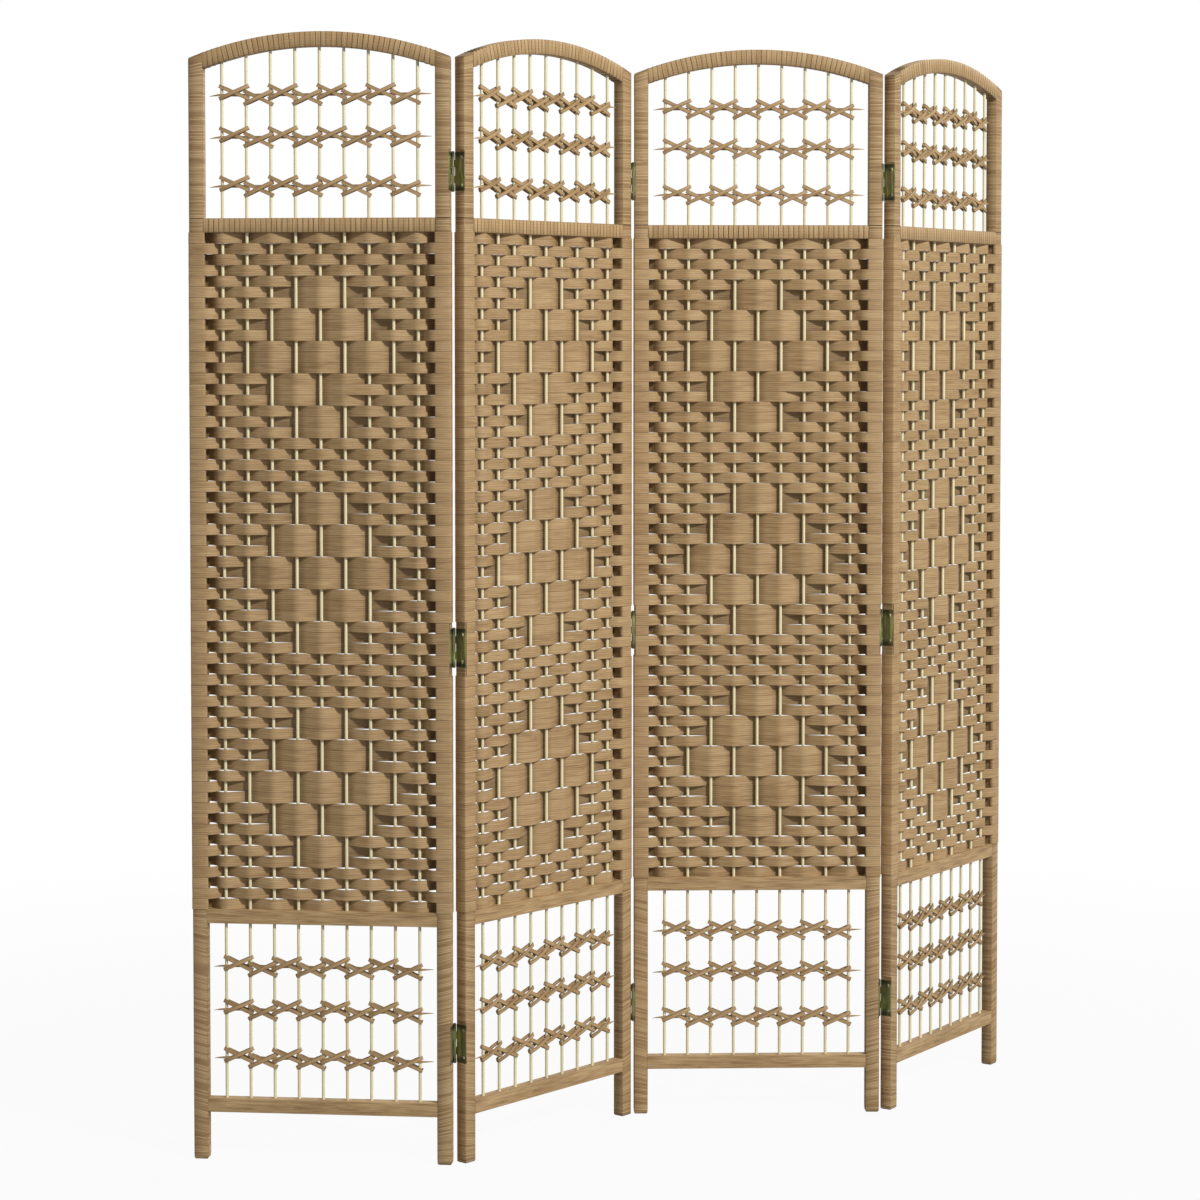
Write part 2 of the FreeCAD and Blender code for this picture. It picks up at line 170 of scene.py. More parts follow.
def panel_places(turns: Sequence[float]) -> list[PanelPlace]:
    """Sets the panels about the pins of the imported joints.

    Args:
        turns: each panel's turn from +X, in degrees.

    Returns:
        The places of the panels from left to right.
    """
    pins = [Vector(joint["pos_m"]) for joint in frame["joints"]]
    places = []
    for index, degrees in enumerate(turns):
        pin_index = max(index - 1, 0)
        behind = pin_index % 2 == 0
        pin_v = SIZES.thickness + SIZES.pin_offset if behind else -SIZES.pin_offset
        pin_u = -SIZES.hinge_gap / 2 if index else SIZES.width + SIZES.hinge_gap / 2
        turn = math.radians(degrees)
        corner = pins[pin_index] - Matrix.Rotation(turn, 3, "Z") @ Vector((pin_u, pin_v, 0))
        corner.z = 0
        places.append(PanelPlace(index + 1, turn, corner))
    return places


class NodeTree:
    """A node tree in the making, with short calls for the nodes it needs."""

    def __init__(self, tree: bpy.types.NodeTree) -> None:
        """Takes a tree in hand.

        Args:
            tree: the tree of a material, of the world or of a modifier.
        """
        self.nodes = tree.nodes
        self.links = tree.links

    def feed(self, socket: bpy.types.NodeSocket, value: Any) -> None:
        """Links a socket, or sets its own value.

        Args:
            socket: an input.
            value: an output socket, or a plain value.
        """
        if isinstance(value, bpy.types.NodeSocket):
            self.links.new(value, socket)
        elif socket.type == "RGBA":
            socket.default_value = (*value, 1.0)
        else:
            socket.default_value = value

    def add(self, kind: str, inputs: dict[str, Any] | None = None, **settings: Any) -> bpy.types.Node:
        """Adds a node.

        Args:
            kind: the node's type.
            inputs: values or sockets by the input's identifier.
            settings: properties to set on it first.

        Returns:
            The node.
        """
        node = self.nodes.new(kind)
        for key, value in settings.items():
            setattr(node, key, value)
        for key, value in (inputs or {}).items():
            self.feed(next(socket for socket in node.inputs if socket.identifier == key), value)
        return node

    def math(self, operation: str, first: Any, second: Any = 0.0, third: Any = 0.0) -> bpy.types.NodeSocket:
        """Adds a Math node.

        Args:
            operation: the node's operation.
            first: first input.
            second: second input.
            third: third input.

        Returns:
            Its result.
        """
        inputs = {"Value": first, "Value_001": second, "Value_002": third}
        return self.add("ShaderNodeMath", inputs, operation=operation).outputs[0]

    def vector(self, x: Any, y: Any, z: Any) -> bpy.types.NodeSocket:
        """Joins three numbers into a vector."""
        return self.add("ShaderNodeCombineXYZ", {"X": x, "Y": y, "Z": z}).outputs[0]

    def axes(self, vector: Any) -> tuple[bpy.types.NodeSocket, ...]:
        """Takes a vector apart into its three numbers."""
        return tuple(self.add("ShaderNodeSeparateXYZ", {"Vector": vector}).outputs)


class ShaderTree(NodeTree):
    """The tree of a material or of the world."""

    def span(self, value: Any, low: float, high: float, to_low: float,
             to_high: float) -> bpy.types.NodeSocket:
        """Carries one range smoothly over to another, held at its ends.

        Args:
            value: what is carried over.
            low: start of its range.
            high: end of its range.
            to_low: result at the start.
            to_high: result at the end.

        Returns:
            The result.
        """
        inputs = {"Value": value, "From Min": low, "From Max": high, "To Min": to_low, "To Max": to_high}
        return self.add("ShaderNodeMapRange", inputs, interpolation_type="SMOOTHSTEP").outputs["Result"]

    def stretched(self, axes: Sequence[Any], scales: Sequence[float]) -> bpy.types.NodeSocket:
        """Scales three numbers, each by its own factor, and joins them into a vector."""
        return self.vector(*[self.math("MULTIPLY", axis, scale) for axis, scale in zip(axes, scales)])

    def object_point(self) -> bpy.types.NodeSocket:
        """Reads the point in the object's own coordinates."""
        return self.add("ShaderNodeTexCoord").outputs["Object"]

    def noise(self, vector: Any, detail: float, roughness: float) -> bpy.types.NodeSocket:
        """Adds a noise pattern.

        Args:
            vector: where it is read, already scaled.
            detail: number of finer layers.
            roughness: strength of the finer layers.

        Returns:
            Its value.
        """
        inputs = {"Vector": vector, "Scale": 1.0, "Detail": detail, "Roughness": roughness}
        return self.add("ShaderNodeTexNoise", inputs).outputs["Fac"]

    def ramp(self, value: Any, stops: Sequence[tuple[float, Colour]]) -> bpy.types.NodeSocket:
        """Turns a value into a colour.

        Args:
            value: what is looked up.
            stops: places and colours, at least two.

        Returns:
            The colour.
        """
        node = self.add("ShaderNodeValToRGB")
        elements = node.color_ramp.elements
        for _ in stops[2:]:
            elements.new(0.5)
        for element, (place, colour) in zip(elements, stops):
            element.position = place
            element.color = (*colour, 1.0)
        self.feed(node.inputs["Fac"], value)
        return node.outputs["Color"]

    def shaded(self, colour: Any, shade: Any) -> bpy.types.NodeSocket:
        """Scales a colour or a vector by a number."""
        inputs = {"Vector": colour, "Scale": shade}
        return self.add("ShaderNodeVectorMath", inputs, operation="SCALE").outputs[0]


class NodeMaterial(ShaderTree):
    """A node material in the making, around one principled shader."""

    def __init__(self, name: str) -> None:
        """Starts a material.

        Args:
            name: the material's name.
        """
        self.material = bpy.data.materials.new(name)
        self.material.use_nodes = True
        super().__init__(self.material.node_tree)
        self.nodes.clear()
        self.shader = self.add("ShaderNodeBsdfPrincipled")
        self.output = self.add("ShaderNodeOutputMaterial")
        self.feed(self.output.inputs["Surface"], self.shader.outputs["BSDF"])

    def surface(self, inputs: dict[str, Any]) -> None:
        """Links or sets inputs of the shader, by their names."""
        for key, value in inputs.items():
            self.feed(self.shader.inputs[key], value)

    def bump(self, height: Any, distance: float, strength: float) -> None:
        """Gives the shader fine relief.

        Args:
            height: the relief, from 0 to 1.
            distance: its depth in metres.
            strength: how strongly it shows.
        """
        inputs = {"Height": height, "Distance": distance, "Strength": strength}
        self.surface({"Normal": self.add("ShaderNodeBump", inputs).outputs["Normal"]})

    def attribute(self, name: str) -> bpy.types.NodeSocket:
        """Reads a number that the mesh carries."""
        return self.add("ShaderNodeAttribute", attribute_name=name).outputs["Fac"]

    def panel_axes(self, place: PanelPlace) -> tuple[bpy.types.NodeSocket, ...]:
        """Reads the point in a panel's own frame.

        Args:
            place: the panel.

        Returns:
            u, v and z, in metres.
        """
        inverse = place.matrix().inverted()
        inputs = {
            "Vector": self.object_point(), "Location": inverse.translation, "Rotation": inverse.to_euler()}
        return self.axes(self.add("ShaderNodeMapping", inputs, vector_type="POINT").outputs[0])


class Lay(Enum):
    """Which way the fibre runs on a piece."""

    STRAP = "along the strap itself"
    RAIL = "lengthwise on a rail"
    STILE = "round a stile"


@dataclass(frozen=True)
class FibreFinish:
    """Brown paper fibre: long streaks, a tone for each strand, and painted shade in the dips between
    strands.

    A length, fineness or breadth scales a noise, and a jump moves it on from strand to strand.
    A strap's strands carry their tones, and a CAD piece has the plain one. A shade is the factor that
    a dark line reaches. Lines whose number, width, depth, place or pitch is 0 are left out.
    """

    name: str
    lay: Lay
    dark: Colour = (0.29, 0.176, 0.077)
    middle: Colour = (0.445, 0.291, 0.14)
    light: Colour = (0.558, 0.386, 0.198)
    stops: tuple[float, float, float] = (0.3, 0.5, 0.68)
    streak_length: float = 26.0
    streak_fineness: float = 620.0
    streak_noise: tuple[float, float] = (3.0, 0.62)
    streak_jump: float = 37.0
    cloud_length: float = 2.0
    cloud_breadth: float = 9.0
    cloud_noise: tuple[float, float] = (2.0, 0.5)
    cloud_jump: float = 19.0
    cloud_share: float = 0.3
    tone_swing: float = 0.1
    plain_tone: float = 0.5
    strand_width: float = 0.0
    ridges: int = 0
    # The dip, edge, recess and seam fields paint shade: in grooves, along edges, deep in the weave and in a
    # gap.
    dip_start: float = 0.35
    dip_shade: float = 0.8
    dip_spread: float = 0.0
    edge_width: float = 0.0
    edge_shade: float = 0.62
    inside_depth: float = 0.0
    recess_shade: float = 0.64
    seam: float = 0.0
    seam_half: float = 0.5 * MM
    seam_fade: float = 1.1 * MM
    seam_shade: float = 0.3
    cross_pitch: float = 0.0
    cross_start: float = 0.7
    cross_shade: float = 0.82
    roughness: float = 0.62
    roughness_swing: float = 0.2
    specular: float = 0.3
    relief: float = 0.25 * MM
    relief_strength: float = 0.5

    def build(self, place: PanelPlace) -> bpy.types.Material:
        """Makes the material for one panel.

        Args:
            place: the panel that carries it.

        Returns:
            The material.
        """
        made = NodeMaterial(f"{place.body}_{self.name}")
        along, across, other, tone = self.directions(made, place)
        reach = self.streak_length
        fine = self.streak_fineness
        streaks = made.noise(
            made.vector(
                made.math("MULTIPLY", along, reach),
                made.math("MULTIPLY", across, fine),
                made.math("MULTIPLY_ADD", other, fine, made.math("MULTIPLY", tone, self.streak_jump)),
            ), *self.streak_noise)
        wide = (reach / self.cloud_length, fine / self.cloud_breadth, self.cloud_jump)
        clouds = made.noise(made.stretched((along, across, tone), wide), *self.cloud_noise)
        cloudy = made.math("MULTIPLY", clouds, self.cloud_share)
        level = made.math("MULTIPLY_ADD", streaks, 1 - self.cloud_share, cloudy)
        swing = made.math("MULTIPLY_ADD", tone, self.tone_swing, -self.tone_swing / 2)
        level = made.math("ADD", level, swing)
        colour = made.ramp(level, tuple(zip(self.stops, (self.dark, self.middle, self.light))))
        shade = self.shades(made, along, across, tone)
        if shade is not None:
            colour = made.shaded(colour, shade)
        dullest = self.roughness + self.roughness_swing / 2
        rough = made.math("MULTIPLY_ADD", streaks, -self.roughness_swing, dullest)
        made.surface({"Base Color": colour, "Roughness": rough, "Specular IOR Level": self.specular})
        made.bump(streaks, self.relief, self.relief_strength)
        return made.material

    def directions(self, made: NodeMaterial, place: PanelPlace) -> tuple[Any, Any, Any, Any]:
        """Finds the way the fibre runs.

        Args:
            made: the material in the making.
            place: the panel that carries it.

        Returns:
            Place along the fibre, across it and through it, and the strand's tone.
        """
        if self.lay is Lay.STRAP:
            return made.attribute("along"), made.attribute("across"), 0.0, made.attribute("tone")
        u, v, z = made.panel_axes(place)
        if self.lay is Lay.RAIL:
            return u, z, v, self.plain_tone
        return made.math("ADD", u, v), z, 0.0, self.plain_tone

    def shades(self, made: NodeMaterial, along: Any, across: Any, tone: Any) -> Any:
        """Paints shade into the dips between strands, on a strap's edges, on faces deep in the weave and on
        a seam, and darkens faint lines across.

        Args:
            made: the material in the making.
            along: place along the fibre.
            across: place across the fibre.
            tone: the strand's tone.

        Returns:
            A factor for the colour, or None where the finish has no such lines.
        """
        shades = []
        # Painted shade in the grooves between strands, deeper for some strands by their tone.
        if self.ridges:
            turns = 2 * math.pi * self.ridges / self.strand_width
            wave = made.math("COSINE", made.math("MULTIPLY_ADD", across, turns, math.pi * self.ridges))
            depth = made.span(wave, self.dip_start, 1.0, 0.0, 1.0 - self.dip_shade)
            weight = made.math("MULTIPLY_ADD", tone, 2 * self.dip_spread, 1.0 - self.dip_spread)
            shades.append(made.math("SUBTRACT", 1.0, made.math("MULTIPLY", depth, weight)))
        # Painted shade: a dark band along both edges of a strap, for the shade between rows and under the
        # ties.
        if self.edge_width:
            half = self.strand_width / 2
            away = made.math("ABSOLUTE", across)
            shades.append(made.span(away, half - self.edge_width, half, 1.0, self.edge_shade))
        # Painted shade: faces that look in at the rods, deep in the weave, are darkened as recesses that
        # lie in shade.
        if self.inside_depth:
            depth = made.attribute("inside")
            shades.append(made.span(depth, 0.0, self.inside_depth, 1.0, self.recess_shade))
        # Painted shade: a dark line on the stile where the windings part at the upper rail's top.
        if self.seam:
            away = made.math("ABSOLUTE", made.math("SUBTRACT", across, self.seam))
            shades.append(made.span(away, self.seam_half, self.seam_fade, self.seam_shade, 1.0))
        if self.cross_pitch:
            wave = made.math("COSINE", made.math("MULTIPLY", along, 2 * math.pi / self.cross_pitch))
            shades.append(made.span(wave, self.cross_start, 1.0, 1.0, self.cross_shade))
        if not shades:
            return None
        total = shades[0]
        for shade in shades[1:]:
            total = made.math("MULTIPLY", total, shade)
        return total


@dataclass(frozen=True)
class BambooFinish:
    """Pale split bamboo, streaked lengthwise."""

    name: str = "bamboo"
    dark: Colour = (0.66, 0.57, 0.33)
    light: Colour = (0.88, 0.81, 0.53)
    stops: tuple[float, float] = (0.28, 0.6)
    fineness: float = 1500.0
    length: float = 14.0
    noise: tuple[float, float] = (3.0, 0.6)
    roughness: float = 0.3
    roughness_swing: float = 0.2
    relief: float = 0.1 * MM
    relief_strength: float = 0.4

    def build(self, place: PanelPlace) -> bpy.types.Material:
        """Makes the material for one panel's rods.

        Args:
            place: the panel that carries them.

        Returns:
            The material.
        """
        made = NodeMaterial(f"{place.body}_{self.name}")
        upright = made.stretched(made.panel_axes(place), (self.fineness, self.fineness, self.length))
        streaks = made.noise(upright, *self.noise)
        colour = made.ramp(streaks, tuple(zip(self.stops, (self.dark, self.light))))
        rough = made.math("MULTIPLY_ADD", streaks, self.roughness_swing, self.roughness)
        made.surface({"Base Color": colour, "Roughness": rough})
        made.bump(streaks, self.relief, self.relief_strength)
        return made.material


@dataclass(frozen=True)
class BrassFinish:
    """Dark antique brass: an upright, streaky patina, and darker towards the ends of each hinge."""

    name: str
    brown: Colour = (0.27, 0.195, 0.11)
    green: Colour = (0.13, 0.15, 0.065)
    bright: Colour = (0.37, 0.36, 0.13)
    stops: tuple[float, float, float] = (0.38, 0.5, 0.64)
    fineness: float = 230.0
    length: float = 24.0
    patch_noise: tuple[float, float] = (2.0, 0.5)
    scuff_fineness: float = 1300.0
    scuff_noise: tuple[float, float] = (2.0, 0.6)
    scuff_range: tuple[float, float] = (0.3, 0.7)
    end_range: tuple[float, float] = (0.6, 0.9)
    end_shade: float = 0.4
    metallic: float = 0.65
    roughness_range: tuple[float, float] = (0.26, 0.42)
    relief: float = 0.1 * MM
    relief_strength: float = 0.35

    def build(self) -> bpy.types.Material:
        """Makes the material.

        Returns:
            The material.
        """
        made = NodeMaterial(self.name)
        point = made.object_point()
        axes = made.axes(point)
        upright = made.stretched(axes, (self.fineness, self.fineness, self.length))
        patches = made.noise(upright, *self.patch_noise)
        scuffs = made.noise(made.shaded(point, self.scuff_fineness), *self.scuff_noise)
        colour = made.ramp(patches, tuple(zip(self.stops, (self.brown, self.green, self.bright))))
        # Darker towards the ends of each hinge.
        away: Any = SIZES.height
        for level in SIZES.hinge_levels:
            height = made.math("SUBTRACT", axes[2], level)
            away = made.math("MINIMUM", away, made.math("ABSOLUTE", height))
        half = SIZES.hinge_height / 2
        low, high = (share * half for share in self.end_range)
        colour = made.shaded(colour, made.span(away, low, high, 1.0, self.end_shade))
        rough = made.span(scuffs, *self.scuff_range, *self.roughness_range)
        made.surface({"Base Color": colour, "Metallic": self.metallic, "Roughness": rough})
        made.bump(scuffs, self.relief, self.relief_strength)
        return made.material


@dataclass(frozen=True)
class DowelFinish:
    """Plain turned wood, hidden in the joints."""

    name: str = "dowel_wood"
    dark: Colour = (0.5, 0.34, 0.18)
    light: Colour = (0.68, 0.5, 0.3)
    stops: tuple[float, float] = (0.3, 0.7)
    fineness: float = 400.0
    noise: tuple[float, float] = (3.0, 0.6)
    roughness_range: tuple[float, float] = (0.5, 0.7)

    def build(self) -> bpy.types.Material:
        """Makes the material.

        Returns:
            The material.
        """
        made = NodeMaterial(self.name)
        grain = made.noise(made.shaded(made.object_point(), self.fineness), *self.noise)
        colour = made.ramp(grain, tuple(zip(self.stops, (self.dark, self.light))))
        rough = made.span(grain, *self.stops, *self.roughness_range)
        made.surface({"Base Color": colour, "Roughness": rough})
        return made.material


class GeometryTree(NodeTree):
    """A Geometry Nodes tree with named inputs."""

    def __init__(self, name: str, inputs: Sequence[tuple[str, str]]) -> None:
        """Starts a tree that takes a geometry and gives one back.

        Args:
            name: the tree's name.
            inputs: name and socket type of each further input.
        """
        self.group = bpy.data.node_groups.new(name, "GeometryNodeTree")
        super().__init__(self.group)
        face = self.group.interface
        face.new_socket("Geometry", in_out="OUTPUT", socket_type="NodeSocketGeometry")
        self.keys: dict[str, str] = {}
        for title, kind in (("Geometry", "NodeSocketGeometry"), *inputs):
            self.keys[title] = face.new_socket(title, in_out="INPUT", socket_type=kind).identifier
        self.source = self.add("NodeGroupInput")

    def given(self, title: str) -> bpy.types.NodeSocket:
        """One of the tree's inputs."""
        return self.source.outputs[title]

    def stored(self, geometry: Any, name: str, value: Any, domain: str) -> bpy.types.NodeSocket:
        """Writes a number on the geometry.

        Args:
            geometry: what carries it.
            name: the attribute's name.
            value: the number.
            domain: what it is written on.

        Returns:
            The geometry.
        """
        inputs = {"Geometry": geometry, "Name": name, "Value": value}
        node = self.add("GeometryNodeStoreNamedAttribute", inputs, data_type="FLOAT", domain=domain)
        return node.outputs["Geometry"]

    def named(self, name: str, kind: str) -> bpy.types.NodeSocket:
        """Reads an attribute of the given kind."""
        node = self.add("GeometryNodeInputNamedAttribute", {"Name": name}, data_type=kind)
        return node.outputs["Attribute"]

    def close(self, geometry: Any) -> None:
        """Ends the tree: real meshes, smooth, with the material given.

        Args:
            geometry: what the tree gives back.
        """
        smooth = self.add("GeometryNodeSetShadeSmooth", {"Geometry": geometry})
        real = self.add("GeometryNodeRealizeInstances", {"Geometry": smooth.outputs[0]})
        inputs = {"Geometry": real.outputs[0], "Material": self.given("Material")}
        dressed = self.add("GeometryNodeSetMaterial", inputs)
        self.feed(self.add("NodeGroupOutput").inputs[0], dressed.outputs[0])

    def mesh(self, obj: bpy.types.Object, values: dict[str, Any]) -> bpy.types.Mesh:
        """Runs the tree on an object and keeps the plain mesh it gives.

        Args:
            obj: the object that holds the paths or points; it is removed.
            values: the inputs by name.

        Returns:
            The mesh, with its faces outwards.
        """
        modifier = obj.modifiers.new(self.group.name, "NODES")
        modifier.node_group = self.group
        for title, value in values.items():
            modifier[self.keys[title]] = value
        graph = bpy.context.evaluated_depsgraph_get()
        result = bpy.data.meshes.new_from_object(
            obj.evaluated_get(graph), preserve_all_data_layers=True, depsgraph=graph)
        bpy.data.objects.remove(obj)
        shell = bmesh.new()
        shell.from_mesh(result)
        bmesh.ops.recalc_face_normals(shell, faces=shell.faces)
        shell.to_mesh(result)
        shell.free()
        return result


class StrapTree(GeometryTree):
    """Draws a flat, ridged strap along every path of a mesh of edges."""

    wander_scale: float = 24.0
    wander_detail: float = 1.0

    def __init__(self) -> None:
        """Builds the tree."""
        super().__init__("strap_along_path", (
            ("Width", "NodeSocketFloat"), ("Thickness", "NodeSocketFloat"), ("Ridges", "NodeSocketInt"),
            ("Relief", "NodeSocketFloat"), ("Wander", "NodeSocketFloat"), ("Crease", "NodeSocketFloat"),
            ("Seed", "NodeSocketInt"), ("Material", "NodeSocketMaterial")))
        curve = self.add("GeometryNodeMeshToCurve", {"Mesh": self.given("Geometry")}).outputs[0]
        index = self.add("GeometryNodeInputIndex").outputs[0]
        inputs = {"ID": index, "Seed": self.given("Seed")}
        chance = self.add("FunctionNodeRandomValue", inputs, data_type="FLOAT")
        curve = self.stored(curve, "tone", chance.outputs[1], "CURVE")
        length = self.add("GeometryNodeSplineParameter").outputs["Length"]
        curve = self.stored(curve, "along", length, "POINT")
        curve = self.add("GeometryNodeSetCurveNormal", {"Curve": curve}, mode="Z_UP").outputs[0]
        curve = self.wandering(curve)
        sweep = self.add("GeometryNodeCurveToMesh", {
            "Curve": curve, "Profile Curve": self.profile(index), "Scale": self.named("girth", "FLOAT"),
            "Fill Caps": True})
        angle = self.add("GeometryNodeInputMeshEdgeAngle").outputs[0]
        crisp = self.math("GREATER_THAN", angle, self.given("Crease"))
        inputs = {"Geometry": sweep.outputs[0], "Selection": crisp, "Shade Smooth": False}
        self.close(self.add("GeometryNodeSetShadeSmooth", inputs, domain="EDGE").outputs[0])

    def wandering(self, curve: Any) -> bpy.types.NodeSocket:
        """Lets the path rise and fall a little, as a hand-laid strand does.

        Args:
            curve: the paths.

        Returns:
            The paths, moved.
        """
        place = self.add("GeometryNodeInputPosition").outputs[0]
        inputs = {"Vector": place, "Scale": self.wander_scale, "Detail": self.wander_detail}
        noise = self.add("ShaderNodeTexNoise", inputs)
        rise = self.math("MULTIPLY", self.math("SUBTRACT", noise.outputs[0], 0.5), self.given("Wander"))
        inputs = {"Geometry": curve, "Offset": self.vector(0.0, 0.0, rise)}
        return self.add("GeometryNodeSetPosition", inputs).outputs[0]

    def profile(self, index: Any) -> bpy.types.NodeSocket:
        """Cross-section: a flat bar whose long sides rise at each ridge and sink between them.

        Args:
            index: the index field.

        Returns:
            The closed curve.
        """
        width, ridges = self.given("Width"), self.given("Ridges")
        bar = self.add("GeometryNodeCurvePrimitiveQuadrilateral",
                       {"Width": self.given("Thickness"), "Height": width}, mode="RECTANGLE")
        long_side = self.math("MODULO", index, 2.0)
        cuts = self.math("MULTIPLY", long_side, self.math("MULTIPLY_ADD", ridges, 2.0, -1.0))
        bar = self.add("GeometryNodeSubdivideCurve", {"Curve": bar.outputs[0], "Cuts": cuts}).outputs[0]
        axes = self.axes(self.add("GeometryNodeInputPosition").outputs[0])
        share = self.math("ADD", self.math("DIVIDE", axes[1], width), 0.5)
        wave = self.math("COSINE", self.math("MULTIPLY", self.math("MULTIPLY", share, 2 * math.pi), ridges))
        sunk = self.math("MULTIPLY", self.math("MULTIPLY_ADD", wave, 0.5, 0.5), self.given("Relief"))
        level = self.math("MULTIPLY", axes[0], self.math("SUBTRACT", 1.0, sunk))
        inputs = {"Geometry": bar, "Position": self.vector(level, axes[1], 0.0)}
        bar = self.add("GeometryNodeSetPosition", inputs).outputs[0]
        return self.stored(bar, "across", axes[1], "POINT")


class CopiesTree(GeometryTree):
    """Sets copies of two straps on points, each turned and stretched as its point says."""

    def __init__(self) -> None:
        """Builds the tree."""
        super().__init__("straps_on_points", (
            ("First", "NodeSocketObject"), ("Second", "NodeSocketObject"), ("Along", "NodeSocketObject"),
            ("Material", "NodeSocketMaterial")))
        second = self.named("second", "BOOLEAN")
        first = self.add("FunctionNodeBooleanMath", {"Boolean": second}, operation="NOT").outputs[0]
        euler = self.named("turn", "FLOAT_VECTOR")
        turn = self.add("FunctionNodeEulerToRotation", {"Euler": euler}).outputs[0]
        join = self.add("GeometryNodeJoinGeometry")
        for title, chosen in (("First", first), ("Second", second)):
            strap = self.add("GeometryNodeObjectInfo", {"Object": self.given(title)}).outputs["Geometry"]
            copies = self.add("GeometryNodeInstanceOnPoints", {
                "Points": self.given("Geometry"), "Selection": chosen, "Instance": strap, "Rotation": turn,
                "Scale": self.named("stretch", "FLOAT_VECTOR")})
            self.feed(join.inputs[0], copies.outputs[0])
        strand = self.add("GeometryNodeObjectInfo", {"Object": self.given("Along")}).outputs["Geometry"]
        self.feed(join.inputs[0], strand)
        self.close(join.outputs[0])


@dataclass
class Path:
    """A strap's middle line."""

    points: list[Vector]
    closed: bool = False
    girth: list[float] = field(default_factory=list)


@dataclass(frozen=True)
class Strap:
    """Section of a strap and how freely it lies."""

    width: float
    thickness: float
    ridges: int
    relief: float
    wander: float = 0.0
    crease: float = math.radians(50)
    seed: int = 1


@dataclass
class Spot:
    """Where one copy of a strap goes."""

    place: Vector
    turn: Vector
    tone: float
    stretch: float = 1.0
    second: bool = False


class Workshop:
    """Holds the trees and turns paths and spots into pieces."""

    def __init__(self) -> None:
        """Builds the trees once."""
        self.straps = StrapTree()
        self.copies = CopiesTree()

    def linked(self, name: str, mesh: bpy.types.Mesh) -> bpy.types.Object:
        """Puts a mesh in the scene.

        Args:
            name: the object's name.
            mesh: its mesh.

        Returns:
            The object.
        """
        obj = bpy.data.objects.new(name, mesh)
        bpy.context.scene.collection.objects.link(obj)
        return obj

    def swept(self, paths: Sequence[Path], strap: Strap,
              material: bpy.types.Material | None) -> bpy.types.Mesh:
        """Draws a strap along paths.

        Args:
            paths: the middle lines.
            strap: the section.
            material: the finish, or None for a strap that is copied later.

        Returns:
            The mesh.
        """
        points: list[Vector] = []
        edges: list[tuple[int, int]] = []
        girth: list[float] = []
        for path in paths:
            start, count = len(points), len(path.points)
            points.extend(path.points)
            girth.extend(path.girth or [1.0] * count)
            edges.extend((start + i, start + i + 1) for i in range(count - 1))
            if path.closed:
                edges.append((start + count - 1, start))
        mesh = bpy.data.meshes.new("paths")
        mesh.from_pydata(points, edges, [])
        mesh.attributes.new("girth", "FLOAT", "POINT").data.foreach_set("value", girth)
        values: dict[str, Any] = {
            "Width": strap.width, "Thickness": strap.thickness, "Ridges": strap.ridges,
            "Relief": strap.relief, "Wander": strap.wander, "Crease": strap.crease, "Seed": strap.seed}
        if material is not None:
            values["Material"] = material
        return self.straps.mesh(self.linked("paths", mesh), values)

    def pattern(self, name: str, path: Path, strap: Strap) -> bpy.types.Object:
        """Makes a strap to be copied, which takes its tone from the spots.

        Args:
            name: a name for it.
            path: its middle line about the origin.
            strap: its section.

        Returns:
            The object.
        """
        mesh = self.swept([path], strap, None)
        mesh.attributes.remove(mesh.attributes["tone"])
        return self.linked(name, mesh)

    def put_away(self, *patterns: bpy.types.Object) -> None:
        """Removes straps that were only there to be copied."""
        for pattern in patterns:
            bpy.data.objects.remove(pattern)

    def copied(self, spots: Sequence[Spot], first: bpy.types.Object, second: bpy.types.Object,
               strand: bpy.types.Object | None, material: bpy.types.Material) -> bpy.types.Mesh:
        """Sets copies of straps on spots.

        Args:
            spots: where they go.
            first: the usual strap.
            second: the strap for spots that ask for the second.
            strand: a strap that is taken along as it is, or None.
            material: the finish.

        Returns:
            The mesh.
        """
        mesh = bpy.data.meshes.new("spots")
        mesh.from_pydata([spot.place for spot in spots], [], [])
        turns = [number for spot in spots for number in spot.turn]
        scales = [number for spot in spots for number in (spot.stretch, 1.0, 1.0)]
        for title, kind, key, numbers in (
                ("tone", "FLOAT", "value", [spot.tone for spot in spots]),
                ("second", "BOOLEAN", "value", [spot.second for spot in spots]),
                ("turn", "FLOAT_VECTOR", "vector", turns),
                ("stretch", "FLOAT_VECTOR", "vector", scales)):
            mesh.attributes.new(title, kind, "POINT").data.foreach_set(key, numbers)
        values: dict[str, Any] = {"First": first, "Second": second, "Material": material}
        if strand is not None:
            values["Along"] = strand
        return self.copies.mesh(self.linked("spots", mesh), values)

    def finished(self, name: str, mesh: bpy.types.Mesh, place: PanelPlace,
                 nodes: Iterable[str] = ()) -> None:
        """Sets a mesh in its panel's place and hangs it on the panel's body.

        Args:
            name: the piece's name.
            mesh: the mesh in the panel's frame.
            place: the panel.
            nodes: the CAD nodes that it stands for.
        """
        mesh.transform(place.matrix())
        mesh.name = name
        piece = self.linked(name, mesh)
        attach(piece, place.body)
        if nodes:
            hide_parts(*nodes)
        LOG.info("%s: %d faces on %s", name, len(mesh.polygons), place.body)


